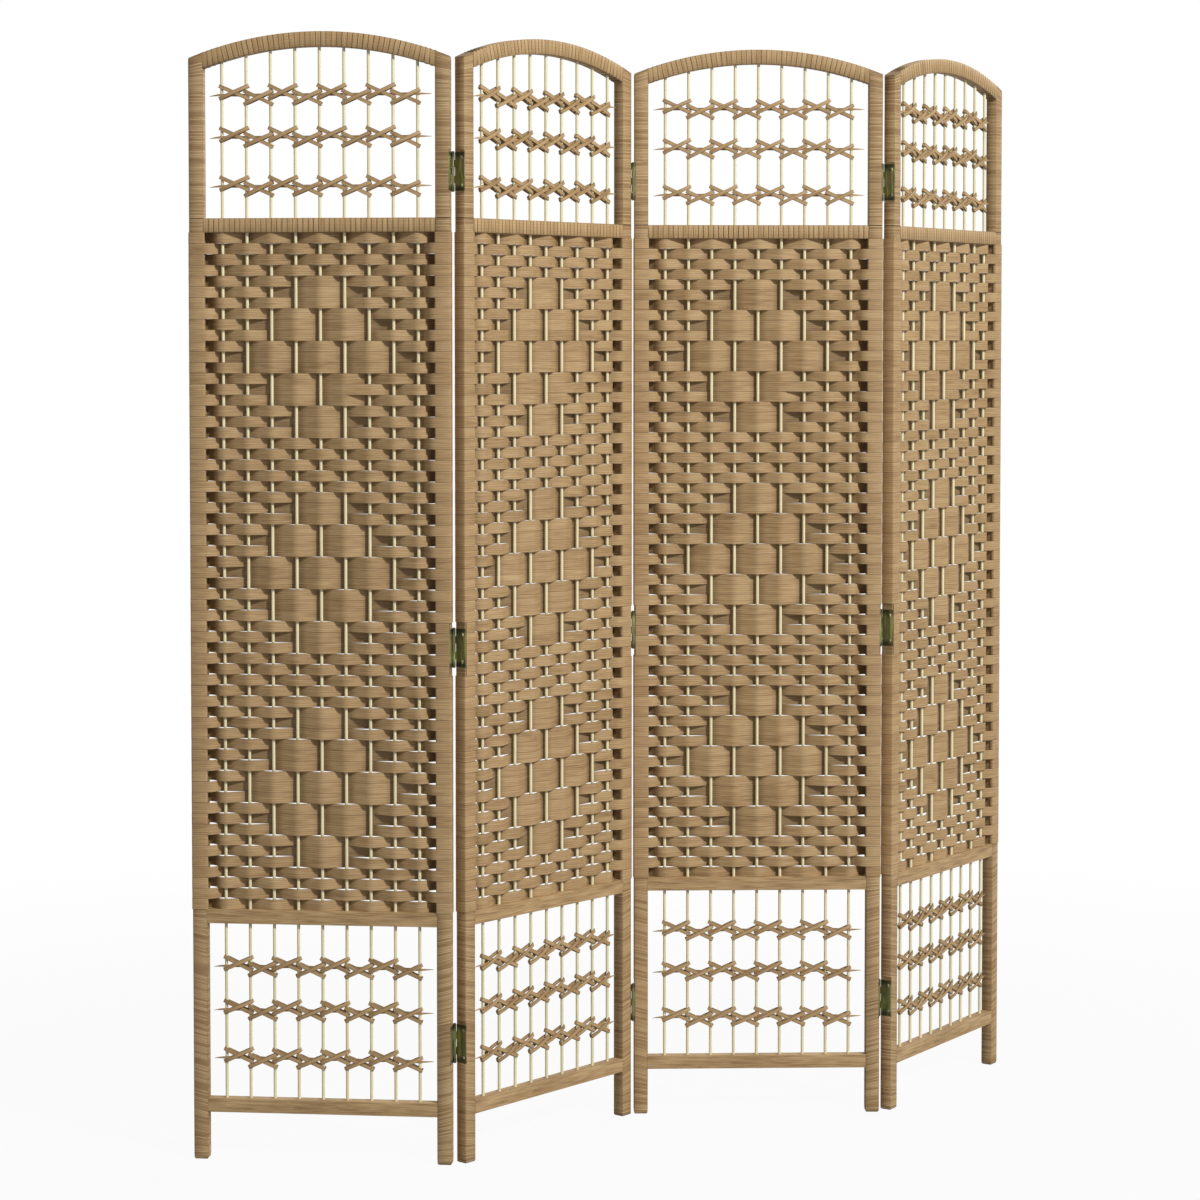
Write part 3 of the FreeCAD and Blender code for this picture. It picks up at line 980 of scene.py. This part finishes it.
def bend(start: Plan, end: Plan, pieces: int) -> list[Plan]:
    """Points after start on the way from one crest to the next: a flat, or two equal arcs.

    Args:
        start: a crest, in plan.
        end: the next crest.
        pieces: number of straight pieces that stand for the bend.

    Returns:
        The points, the last of them at end.
    """
    run, rise = end[0] - start[0], end[1] - start[1]
    if abs(rise) < NO_RISE:
        return [end]
    side = math.copysign(1.0, rise)
    turn = 2 * math.atan2(abs(rise), run)
    radius = run / 2 / math.sin(turn)
    points = []
    for step in range(1, pieces + 1):
        share = 2 * step / pieces
        angle = turn * min(share, 2 - share)
        along, away = radius * math.sin(angle), side * radius * (1 - math.cos(angle))
        if share <= 1:
            points.append((start[0] + along, start[1] + away))
        else:
            points.append((end[0] - along, end[1] - away))
    return points


def ring_plan(side: float, face: float, cut: float) -> list[Plan]:
    """Outline of a strap's turn round a squared piece, about its middle.

    Args:
        side: from the middle to each side, along x.
        face: from the middle to the front and the back, along y.
        cut: what is cut off each corner.

    Returns:
        The eight points, from the left one of the front.
    """
    right = [(side - cut, -face), (side, cut - face), (side, face - cut), (side - cut, face)]
    left = [(cut - side, face), (-side, face - cut), (-side, cut - face)]
    return [(cut - side, -face), *right, *left]


@dataclass
class WovenField:
    """The woven middle of a panel: rows of flat band that pass the rods and turn round the stiles."""

    row_count: int = 63
    row_lap: float = 0.08 * MM
    row_lift: float = 0.1 * MM
    band: float = 1.2 * MM
    cords: int = 5
    relief: float = 0.2
    wander: float = 0.25 * MM
    crest: float = 6.4 * MM
    stile_clearance: float = 0.1 * MM
    bend_margin: float = 0.5 * MM
    tail: float = 4 * MM
    hinge_margin: float = 2 * MM
    hinge_room: float = 2.2 * MM
    rod_bend: float = 16 * MM
    bend_share: float = 0.95
    bend_pieces: int = 2
    diamond_first: int = 5
    diamond_rows: int = 15
    diamond_repeat: int = 20
    diamond_tiers: dict[int, tuple[int, ...]] = field(default_factory=lambda: {
        1: (2, 5, 8), 4: (1, 4, 6, 9), 7: (3, 5, 7), 10: (1, 4, 6, 9), 13: (2, 5, 8)})
    slip_row: int = 15
    slip_rod: int = 7

    @property
    def row_step(self) -> float:
        """Height from one row to the next."""
        return (SIZES.upper_rail - SIZES.lower_rail_top) / self.row_count

    @property
    def strap(self) -> Strap:
        """Section of a row: fine cords side by side."""
        return Strap(self.row_step + self.row_lap, self.band, self.cords, self.relief, self.wander)

    def stile_distance(self, row: int) -> float:
        """From a stile's faces to the middle of a row's band."""
        return self.stile_clearance + self.band / 2 + (self.row_lift if row % 2 else 0.0)

    def slope(self, start: Plan, end: Plan) -> list[Plan]:
        """Points after start on the way from one crest to the next: a flat, or a slope between two arcs.

        The arcs have the radius rod_bend, or a little less than the largest that fits.

        Args:
            start: a crest, in plan.
            end: the next crest.

        Returns:
            The points, the last of them at end.
        """
        run, rise = end[0] - start[0], abs(end[1] - start[1])
        if rise < NO_RISE:
            return [end]
        side = math.copysign(1.0, end[1] - start[1])
        largest = (run * run + rise * rise) / (4 * rise)
        radius = min(self.rod_bend, self.bend_share * largest)
        reach = math.hypot(run, rise - 2 * radius)
        turn = math.atan2(rise - 2 * radius, run) + math.asin(2 * radius / reach)
        angles = [turn * step / self.bend_pieces for step in range(1, self.bend_pieces + 1)]
        arc = [(radius * math.sin(angle), side * radius * (1 - math.cos(angle))) for angle in angles]
        leaving = [(start[0] + along, start[1] + away) for along, away in arc]
        arriving = [(end[0] - along, end[1] - away) for along, away in reversed(arc)]
        return [*leaving, *arriving, end]

    def over_rods(self, row: int) -> set[int]:
        """Numbers of the rods that a row passes in front of.

        Args:
            row: the row's number, from the top.

        Returns:
            The rods' numbers, from the left.
        """
        step = (row - self.diamond_first) % self.diamond_repeat
        first = row - step
        whole = first >= self.diamond_first and first + self.diamond_rows <= self.row_count
        over = set(range(1 if row % 2 else 2, SIZES.rod_count + 1, 2))
        if whole and step in self.diamond_tiers:
            over = set(self.diamond_tiers[step])
        if row == self.slip_row:
            over.add(self.slip_rod)
        return over

    def stile_turn(self, distance: float) -> list[list[Plan]]:
        """Way round the left stile for a row that comes in behind it.

        Args:
            distance: from the stile's faces to the middle of the band.

        Returns:
            The back corner, the front corner, and the inner corner with its tail.
        """
        edge = SIZES.edge_round
        high, inner = SIZES.thickness - edge, SIZES.stile - edge
        reach = edge + distance
        slant = reach * math.sqrt(0.5)
        back = [(edge, high + reach), (edge - slant, high + slant), (edge - reach, high)]
        front = [(edge - reach, edge), (edge - slant, edge - slant), (edge, edge - reach)]
        inside = [(inner, edge - reach), (inner + slant, edge - slant), (inner + reach, edge)]
        return [back, front, [*inside, (inner + reach, self.tail)]]

    def row_ends(self, row: int, left: bool, hinged: bool) -> tuple[list[Plan], list[Plan]]:
        """Finishes one end of a row round its stile.

        Args:
            row: the row's number.
            left: whether it is the left end.
            hinged: whether a hinge leaf is in the way.

        Returns:
            The points that carry the row on round the stile, and those of a separate collar.
        """
        distance = self.stile_distance(row)
        back, front, inside = self.stile_turn(distance)
        collar: list[Plan] = []
        joined = [*back, *front, *inside]
        if hinged:
            joined = [(self.hinge_margin, SIZES.thickness + distance)]
            collar = [(self.hinge_margin, -distance), *inside]

        def mirrored(points: list[Plan]) -> list[Plan]:
            """Brings points over to where this end is.

            Args:
                points: a way round the left stile, for a row that comes in behind it.

            Returns:
                The points at this end.
            """
            if not left:
                points = [(SIZES.width - u, v) for u, v in points]
            return points if row % 2 else [(u, SIZES.thickness - v) for u, v in points]

        return mirrored(joined), mirrored(collar)

    def row_paths(self, row: int, place: PanelPlace) -> list[Path]:
        """Middle lines of one row.

        Args:
            row: the row's number, from the top.
            place: the panel.

        Returns:
            The row's own line, and those of its collars at a hinge.
        """
        middle = SIZES.upper_rail - (row - 0.5) * self.row_step
        half = self.strap.width / 2
        near = SIZES.near_hinge(middle - half, middle + half, self.hinge_room)
        level = self.stile_distance(row)
        stile_level = SIZES.thickness + level if row % 2 else -level
        over = self.over_rods(row)
        start = SIZES.stile + self.bend_margin
        crests = [(start, stile_level)]
        for number, u in enumerate(SIZES.rods, 1):
            crests.append((u, SIZES.middle + (-self.crest if number in over else self.crest)))
        crests.append((SIZES.width - start, stile_level))
        left, left_collar = self.row_ends(row, True, place.hinged_left and near)
        right, right_collar = self.row_ends(row, False, place.hinged_right and near)
        line = [*left[::-1], crests[0]]
        for before, after in zip(crests, crests[1:]):
            line.extend(self.slope(before, after))
        line.extend(right)
        lines = [points for points in (line, left_collar, right_collar) if points]
        return [Path([Vector((u, v, middle)) for u, v in points]) for points in lines]

    def note_recess_shade_depth(self, mesh: bpy.types.Mesh) -> None:
        """Writes on the mesh how far each point lies from the rods' plane, above 0 where it faces them; the
        weave's finish paints shade by it.

        Args:
            mesh: the rows in the panel's frame.
        """
        depths = [(SIZES.middle - point.co.y) * point.normal.y for point in mesh.vertices]
        mesh.attributes.new("inside", "FLOAT", "POINT").data.foreach_set("value", depths)

    def build(self, shop: Workshop, place: PanelPlace, material: bpy.types.Material) -> None:
        """Weaves one panel.

        Args:
            shop: makes the meshes.
            place: the panel.
            material: the band's finish.
        """
        paths = [path for row in range(1, self.row_count + 1) for path in self.row_paths(row, place)]
        mesh = shop.swept(paths, replace(self.strap, seed=place.number), material)
        self.note_recess_shade_depth(mesh)
        shop.finished(place.node("woven_rows"), mesh, place, [place.node("woven_bands")])


@dataclass
class LatticeTies:
    """Rows of crossed loops that tie the rods together in the open bays."""

    top_levels: tuple[float, ...] = (1471 * MM, 1544 * MM, 1607 * MM)
    bottom_levels: tuple[float, ...] = (154.8 * MM, 228.4 * MM, 294.7 * MM)
    rise: float = 8.5 * MM
    offset: float = 4 * MM
    loop: Strap = Strap(5.6 * MM, 1.2 * MM, 1, 0.12)
    core: Strap = Strap(4.2 * MM, 0.6 * MM, 1, 0.3)
    rod_clearance: float = 0.2 * MM
    core_clearance: float = 0.35 * MM
    core_pieces: int = 4
    left_reach: float = 1.3 * MM
    right_reach: float = 1.5 * MM
    bow: float = 1.2 * MM
    crossing: float = 0.3 * MM
    left_tail: float = 19.5 * MM
    right_tail: float = 21 * MM
    tail_droop: float = 2 * MM
    tail_root: float = 0.85
    tail_tip: float = 0.12
    tail_taper: float = 1.4
    looseness: float = math.radians(1.6)
    seed_step: int = 10

    @property
    def tilt(self) -> float:
        """Slope of a strand."""
        return math.atan2(self.rise, SIZES.rod_step / 2)

    def loop_path(self, bow: float) -> Path:
        """Closed line round two rods, about its crossing.

        Args:
            bow: how far its runs stand out at the crossing.

        Returns:
            The line.
        """
        reach = SIZES.rod_step / 2 / math.cos(self.tilt)
        left, right = reach + self.left_reach, reach + self.right_reach
        half = SIZES.rod_radius + self.rod_clearance + self.loop.thickness / 2

        def run(places: Sequence[float], side: int) -> list[Vector]:
            """Draws one long side of the loop.

            Args:
                places: where its points are, from the crossing.
                side: 1 behind the rods, -1 in front of them.

            Returns:
                The points.
            """
            shares = [x / (left if x < 0 else right) for x in places]
            away = [side * (half + bow * (1 - share ** 2)) for share in shares]
            return [Vector((x, y, 0)) for x, y in zip(places, away)]

        places = [-left, -left / 2, 0.0, right / 2, right]
        slant = half * math.sqrt(0.5)
        points = run(places, 1)
        points += [Vector((right + slant, slant, 0)), Vector((right + slant, -slant, 0))]
        points += run(places[::-1], -1)
        points += [Vector((-left - slant, -slant, 0)), Vector((-left - slant, slant, 0))]
        return Path(points, closed=True)

    def core_path(self, level: float) -> Path:
        """Thin strand through the loops of one row, with tapered tails.

        Args:
            level: the row's height.

        Returns:
            The line.
        """
        swing = SIZES.rod_radius + self.core_clearance
        crests = [(SIZES.rods[0] - self.left_tail, SIZES.middle)]
        for number, u in enumerate(SIZES.rods):
            crests.append((u, SIZES.middle + (swing if number % 2 else -swing)))
        crests.append((SIZES.rods[-1] + self.right_tail, SIZES.middle))
        line = [crests[0]]
        for before, after in zip(crests, crests[1:]):
            line.extend(bend(before, after, self.core_pieces))
        first, last = SIZES.rods[0], SIZES.rods[-1]
        points, girth = [], []
        for u, v in line:
            left = max((first - u) / self.left_tail, 0.0)
            right = max((u - last) / self.right_tail, 0.0)
            points.append(Vector((u, v, level - self.tail_droop * left ** 2)))
            out = max(left, right)
            tapered = self.tail_root + (self.tail_tip - self.tail_root) * out ** self.tail_taper
            girth.append(tapered if out else 1.0)
        return Path(points, girth=girth)

    def spots(self, levels: Sequence[float], seed: int) -> list[Spot]:
        """Places of the loops.

        Args:
            levels: heights of the rows.
            seed: for the looseness of the hand.

        Returns:
            A falling and a rising loop for each pair of rods.
        """
        chance = random.Random(seed)
        spots = []
        for level in levels:
            for number, u in enumerate(SIZES.rods[:-1]):
                shift = -self.offset if number % 2 else self.offset
                middle = Vector((u + SIZES.rod_step / 2, SIZES.middle, level + shift))
                for slope, second in ((self.tilt, False), (-self.tilt, True)):
                    lean = slope + chance.uniform(-self.looseness, self.looseness)
                    spots.append(Spot(middle, Vector((0, lean, 0)), chance.random(), second=second))
        return spots

    def build(self, shop: Workshop, place: PanelPlace, material: bpy.types.Material) -> None:
        """Ties the rods of both open bays.

        Args:
            shop: makes the meshes.
            place: the panel.
            material: the ties' finish.
        """
        outside = self.bow + self.loop.thickness + self.crossing
        falling = shop.pattern("falling_loop", self.loop_path(self.bow), self.loop)
        rising = shop.pattern("rising_loop", self.loop_path(outside), self.loop)
        for bay, levels in (("top", self.top_levels), ("bottom", self.bottom_levels)):
            strands = shop.swept([self.core_path(level) for level in levels], self.core, None)
            core = shop.linked("core_strands", strands)
            spots = self.spots(levels, self.seed_step * place.number + len(bay))
            mesh = shop.copied(spots, falling, rising, core, material)
            replaced = [place.node(f"{bay}_ties")]
            shop.finished(place.node(f"{bay}_lattice"), mesh, place, replaced)
            shop.put_away(core)
        shop.put_away(falling, rising)


@dataclass
class StileWindings:
    """Fine cord wound round the stiles above and below the weave."""

    pitch: float = 2.4 * MM
    cord: Strap = Strap(2.36 * MM, 0.5 * MM, 1, 0.4)
    lift: float = 0.1 * MM
    corner: float = 1.1 * MM
    foot_start: float = 5.5 * MM
    foot_slant: float = math.radians(14)
    foot_ease: float = 60 * MM
    rail_ease: float = 40 * MM
    top_slant: float = math.radians(17)
    top_ease: float = 45 * MM
    top_room: float = 3.2 * MM
    leaf_room: float = 1.8 * MM
    hinge_room: float = 2.6 * MM
    joint_line: float = 1.4 * MM
    seed: int = 100

    def ring(self, opened: bool) -> Path:
        """Line of one winding about the stile's axis.

        Args:
            opened: whether it stops short of a hinge leaf on its left side.

        Returns:
            The line.
        """
        depth = SIZES.middle + self.lift
        plan = ring_plan(SIZES.stile / 2 + self.lift, depth, self.corner)
        if opened:
            start = self.leaf_room - SIZES.stile / 2
            plan = [(start, -depth), *plan[1:5], (start, depth)]
        return Path([Vector((x, y, 0)) for x, y in plan], closed=not opened)

    def slant_at(self, z: float, left: bool) -> float:
        """Slope of the winding at a height.

        Args:
            z: the height.
            left: whether it is on the left stile.

        Returns:
            The turn about the depth axis.
        """
        side = 1.0 if left else -1.0
        if z < SIZES.lower_rail_top:
            rise = min(z / self.foot_ease, (SIZES.lower_rail_top - z) / self.rail_ease, 1.0)
            return side * self.foot_slant * max(rise, 0.0)
        near_top = SIZES.arch_top(0) - z
        return -side * self.top_slant * max(0.0, 1 - near_top / self.top_ease)

    def spots(self, place: PanelPlace) -> list[Spot]:
        """Places of the windings on both stiles.

        Args:
            place: the panel.

        Returns:
            One spot for each turn of cord.
        """
        chance = random.Random(self.seed + place.number)
        spots = []
        top = SIZES.arch_top(SIZES.stile / 2) - self.top_room
        joint = SIZES.upper_rail_top
        gap = self.joint_line / 2
        runs = (
            (self.foot_start, SIZES.lower_rail_top), (SIZES.upper_rail, joint - gap), (joint + gap, top))
        for left, hinged in ((True, place.hinged_left), (False, place.hinged_right)):
            u = SIZES.stile / 2 if left else SIZES.width - SIZES.stile / 2
            for low, high in runs:
                count = round((high - low) / self.pitch)
                for turn in range(count):
                    z = low + (turn + 0.5) * (high - low) / count
                    slant = self.slant_at(z, left)
                    opened = hinged and SIZES.near_hinge(z, z, self.hinge_room)
                    mirrored = opened and not left
                    euler = Vector((0, -slant, math.pi)) if mirrored else Vector((0, slant, 0))
                    spot = Vector((u, SIZES.middle, z))
                    spots.append(Spot(spot, euler, chance.random(), 1 / math.cos(slant), opened))
        return spots

    def build(self, shop: Workshop, place: PanelPlace, material: bpy.types.Material) -> None:
        """Winds both stiles of a panel.

        Args:
            shop: makes the meshes.
            place: the panel.
            material: the cord's finish.
        """
        closed = shop.pattern("winding", self.ring(False), self.cord)
        opened = shop.pattern("opened_winding", self.ring(True), self.cord)
        mesh = shop.copied(self.spots(place), closed, opened, None, material)
        shop.finished(place.node("stile_windings"), mesh, place)
        shop.put_away(closed, opened)


@dataclass
class RailWraps:
    """Flat strip wrapped crosswise round the arch and the upper rail."""

    pitch: float = 7.9 * MM
    strip: Strap = Strap(7.7 * MM, 0.4 * MM, 1, 0.05)
    lift: float = 0.05 * MM
    corner: float = 0.9 * MM
    end_ease: float = 40 * MM
    seed: int = 200

    def ring(self, depth: float) -> Path:
        """Line of one wrap about the rail's axis, with the rail's height along x.

        Args:
            depth: the rail's height.

        Returns:
            The line.
        """
        plan = ring_plan(depth / 2 + self.lift, SIZES.middle + self.lift, self.corner)
        return Path([Vector((x, y, 0)) for x, y in plan], closed=True)

    def spots(self, place: PanelPlace) -> list[Spot]:
        """Places of the wraps, the arch's first.

        Args:
            place: the panel.

        Returns:
            Spots on the arch, marked as second, and on the upper rail.
        """
        chance = random.Random(self.seed + place.number)
        radius = SIZES.arch_radius - SIZES.arch_depth / 2
        centre = SIZES.height - SIZES.arch_radius
        reach = math.asin((SIZES.width / 2 - SIZES.stile) / radius)
        count = round(2 * reach * radius / self.pitch)
        spots = []
        for turn in range(count):
            angle = reach * (2 * (turn + 0.5) / count - 1)
            u = SIZES.width / 2 + radius * math.sin(angle)
            spot = Vector((u, SIZES.middle, centre + radius * math.cos(angle)))
            ease = min(1.0, (reach - abs(angle)) * radius / self.end_ease)
            euler = Vector((0, math.pi / 2 + angle * ease, 0))
            spots.append(Spot(spot, euler, chance.random(), second=True))
        run = SIZES.width - 2 * SIZES.stile
        count = round(run / self.pitch)
        for turn in range(count):
            u = SIZES.stile + (turn + 0.5) * run / count
            spot = Vector((u, SIZES.middle, SIZES.upper_rail + SIZES.rail_height / 2))
            spots.append(Spot(spot, Vector((0, math.pi / 2, 0)), chance.random()))
        return spots

    def build(self, shop: Workshop, place: PanelPlace, material: bpy.types.Material) -> None:
        """Wraps the arch and the upper rail of a panel.

        Args:
            shop: makes the meshes.
            place: the panel.
            material: the strip's finish.
        """
        rail = shop.pattern("rail_wrap", self.ring(SIZES.rail_height), self.strip)
        arch = shop.pattern("arch_wrap", self.ring(SIZES.arch_depth), self.strip)
        mesh = shop.copied(self.spots(place), rail, arch, None, material)
        shop.finished(place.node("rail_wraps"), mesh, place)
        shop.put_away(rail, arch)


def dress(node: str, material: bpy.types.Material) -> None:
    """Gives a CAD node its finish.

    Args:
        node: the node's name.
        material: the finish.
    """
    slots = frame["nodes"][node].data.materials
    slots.clear()
    slots.append(material)
    LOG.info("%s: dressed in %s", node, material.name)


@dataclass
class Panel:
    """One panel of the screen: its frame, rods, weave, ties and wrappings."""

    place: PanelPlace
    weave: WovenField = field(default_factory=WovenField)
    ties: LatticeTies = field(default_factory=LatticeTies)
    windings: StileWindings = field(default_factory=StileWindings)
    wraps: RailWraps = field(default_factory=RailWraps)

    def strap_finish(self, name: str, strap: Strap, **look: Any) -> bpy.types.Material:
        """Makes the finish of a strap for this panel.

        Args:
            name: the finish's name.
            strap: the section, which gives the strand's width and its ridges.
            look: further fields of the finish.

        Returns:
            The material.
        """
        finish = FibreFinish(name, Lay.STRAP, strand_width=strap.width, ridges=strap.ridges, **look)
        return finish.build(self.place)

    def build(self, shop: Workshop, dowel: bpy.types.Material) -> None:
        """Builds and dresses the panel.

        Args:
            shop: makes the meshes.
            dowel: finish of the hidden dowels.
        """
        # Painted shade: dips between strands, windings and strips, strap edges of the weave and the ties,
        # and the weave's recesses.
        self.weave.build(shop, self.place, self.strap_finish(
            "woven_fibre", self.weave.strap, edge_width=1.1 * MM, inside_depth=5.5 * MM))
        self.ties.build(shop, self.place, self.strap_finish(
            "tie_fibre", self.ties.loop, edge_width=0.8 * MM))
        self.windings.build(shop, self.place, self.strap_finish(
            "wound_cord", self.windings.cord, tone_swing=0.38, dip_shade=0.64, dip_spread=0.6))
        self.wraps.build(shop, self.place, self.strap_finish(
            "wrapped_strip", self.wraps.strip,
            dark=(0.309, 0.187, 0.082), middle=(0.473, 0.31, 0.149), light=(0.594, 0.41, 0.211),
            dip_start=0.85, dip_shade=0.32, dip_spread=0.4, cross_pitch=4.6 * MM, cross_start=0.85))
        self.dress_frame(dowel)

    def dress_frame(self, dowel: bpy.types.Material) -> None:
        """Gives the panel's remaining CAD nodes their finishes.

        Args:
            dowel: finish of the hidden dowels.
        """
        # The stile and the wrapped rails show only in the gaps between windings and strips; their dark
        # middle tone is painted shade for those gaps.
        stile = FibreFinish(
            "stile_fibre", Lay.STILE, middle=(0.26, 0.17, 0.08),
            seam=SIZES.upper_rail_top).build(self.place)
        under = FibreFinish("under_wrap", Lay.RAIL, middle=(0.2, 0.13, 0.06)).build(self.place)
        rail = FibreFinish(
            "rail_fibre", Lay.RAIL, dark=(0.2, 0.12, 0.052), middle=(0.425, 0.276, 0.132),
            light=(0.62, 0.434, 0.23)).build(self.place)
        bamboo = BambooFinish().build(self.place)
        for pieces, material in (
                (("left_stile", "right_stile"), stile), (("arch_rail", "upper_rail"), under),
                (("lower_rail", "bottom_rail"), rail), (("rods",), bamboo), (("frame_dowels",), dowel)):
            for piece in pieces:
                dress(self.place.node(piece), material)


@dataclass
class HingeLine:
    """One line of three butt hinges."""

    number: int

    def build(self, leaf: bpy.types.Material, screw: bpy.types.Material) -> None:
        """Dresses the hinge's CAD nodes.

        Args:
            leaf: finish of leaves and pins.
            screw: finish of the screws.
        """
        for piece in ("left_leaves", "right_leaves", "pins"):
            dress(f"hinge_{self.number}_{piece}", leaf)
        for piece in ("left_screws", "right_screws"):
            dress(f"hinge_{self.number}_{piece}", screw)


@dataclass(frozen=True)
class Lamp:
    """A round studio lamp."""

    name: str
    place: tuple[float, float, float]
    size: float
    energy: float

    def build(self, aim: Vector) -> None:
        """Hangs the lamp.

        Args:
            aim: the point that it is turned to.
        """
        lamp = bpy.data.lights.new(self.name, "AREA")
        lamp.shape = "DISK"
        lamp.size = self.size
        lamp.energy = self.energy
        head = bpy.data.objects.new(self.name, lamp)
        head.location = self.place
        head.rotation_euler = (aim - head.location).to_track_quat("-Z", "Y").to_euler()
        bpy.context.scene.collection.objects.link(head)


@dataclass
class Studio:
    """Pale floor, soft light and the camera."""

    floor_reach: float = 9.0
    floor_sides: int = 64
    floor_colour: Colour = (0.3, 0.3, 0.3)
    white_share: float = 0.95
    white_from: float = 0.9
    white_all: float = 3.0
    fill: float = 0.31
    key: Lamp = Lamp("key_light", (5.05, -5.8, 5.75), 0.85, 690.0)
    rear: Lamp = Lamp("rear_light", (4.5, 6.5, 5.0), 2.0, 300.0)
    aim: tuple[float, float, float] = (0.1, -0.1, 0.85)
    camera_place: tuple[float, float, float] = (-0.0575, -4.99567, 1.24344)
    camera_pitch: float = 2.5894
    camera_yaw: float = -0.2802
    sensor: float = 36.0
    lens: float = 93.8573
    shift: float = -0.1

    def seen_rays(self, made: ShaderTree) -> bpy.types.NodeSocket:
        """Share of a ray that sees the white set itself: camera, glossy and transmission rays.

        Args:
            made: the tree of the floor or of the world.

        Returns:
            1 for such a ray, otherwise 0.
        """
        ray = made.add("ShaderNodeLightPath").outputs
        shown = made.math("MAXIMUM", ray["Is Camera Ray"], ray["Is Glossy Ray"])
        return made.math("MAXIMUM", shown, ray["Is Transmission Ray"])

    def floor(self) -> None:
        """Lays the floor, which keeps the screen's shadow."""
        made = NodeMaterial("pale_floor")
        made.nodes.remove(made.shader)
        plain = made.add("ShaderNodeBsdfDiffuse", {"Color": self.floor_colour})
        white = made.add("ShaderNodeEmission")
        mix = made.add("ShaderNodeMixShader")
        reach = made.add("ShaderNodeVectorMath", {"Vector": made.object_point()}, operation="LENGTH")
        away = reach.outputs["Value"]
        share = made.span(away, self.white_from, self.white_all, self.white_share, 1.0)
        made.feed(mix.inputs[0], made.math("MULTIPLY", self.seen_rays(made), share))
        made.feed(mix.inputs[1], plain.outputs[0])
        made.feed(mix.inputs[2], white.outputs[0])
        made.feed(made.output.inputs["Surface"], mix.outputs[0])
        sheet = bmesh.new()
        bmesh.ops.create_circle(
            sheet, cap_ends=True, segments=self.floor_sides, radius=self.floor_reach)
        mesh = bpy.data.meshes.new("floor")
        sheet.to_mesh(mesh)
        sheet.free()
        mesh.materials.append(made.material)
        floor = bpy.data.objects.new("floor", mesh)
        bpy.context.scene.collection.objects.link(floor)

    def light(self) -> None:
        """Hangs the key lamp high on the right and one behind, and sets the white surroundings."""
        for lamp in (self.key, self.rear):
            lamp.build(Vector(self.aim))
        world = bpy.data.worlds.new("white_surroundings")
        world.use_nodes = True
        bpy.context.scene.world = world
        made = ShaderTree(world.node_tree)
        back = made.nodes["Background"]
        made.feed(back.inputs["Color"], (1.0, 1.0, 1.0))
        made.feed(back.inputs["Strength"], made.math("MAXIMUM", self.seen_rays(made), self.fill))

    def camera(self) -> None:
        """Sets the camera where the photograph was taken from."""
        data = bpy.data.cameras.new("camera")
        data.sensor_width = self.sensor
        data.lens = self.lens
        data.shift_y = self.shift
        eye = bpy.data.objects.new("camera", data)
        eye.location = self.camera_place
        eye.rotation_euler = (math.radians(90 - self.camera_pitch), 0, math.radians(self.camera_yaw))
        bpy.context.scene.collection.objects.link(eye)
        bpy.context.scene.camera = eye

    def build(self) -> None:
        """Sets up the whole studio."""
        self.floor()
        self.light()
        self.camera()
        bpy.context.scene.view_settings.view_transform = "Standard"


@dataclass
class FoldingScreen:
    """The whole screen."""

    turns: tuple[float, ...] = (-6.0, 50.0, 1.5, 57.0)

    def build(self) -> None:
        """Builds the panels from left to right, then the hinges."""
        shop = Workshop()
        dowel = DowelFinish().build()
        for place in panel_places(self.turns):
            Panel(place).build(shop, dowel)
        leaf = BrassFinish("hinge_brass").build()
        screw = BrassFinish("screw_brass", bright=(0.5, 0.48, 0.26), end_shade=0.8).build()
        for number in range(1, len(self.turns)):
            HingeLine(number).build(leaf, screw)


def main() -> None:
    """Builds the screen and its studio."""
    logging.basicConfig(level=logging.INFO, format="%(message)s")
    FoldingScreen().build()
    Studio().build()


if __name__ == "__main__":
    main()
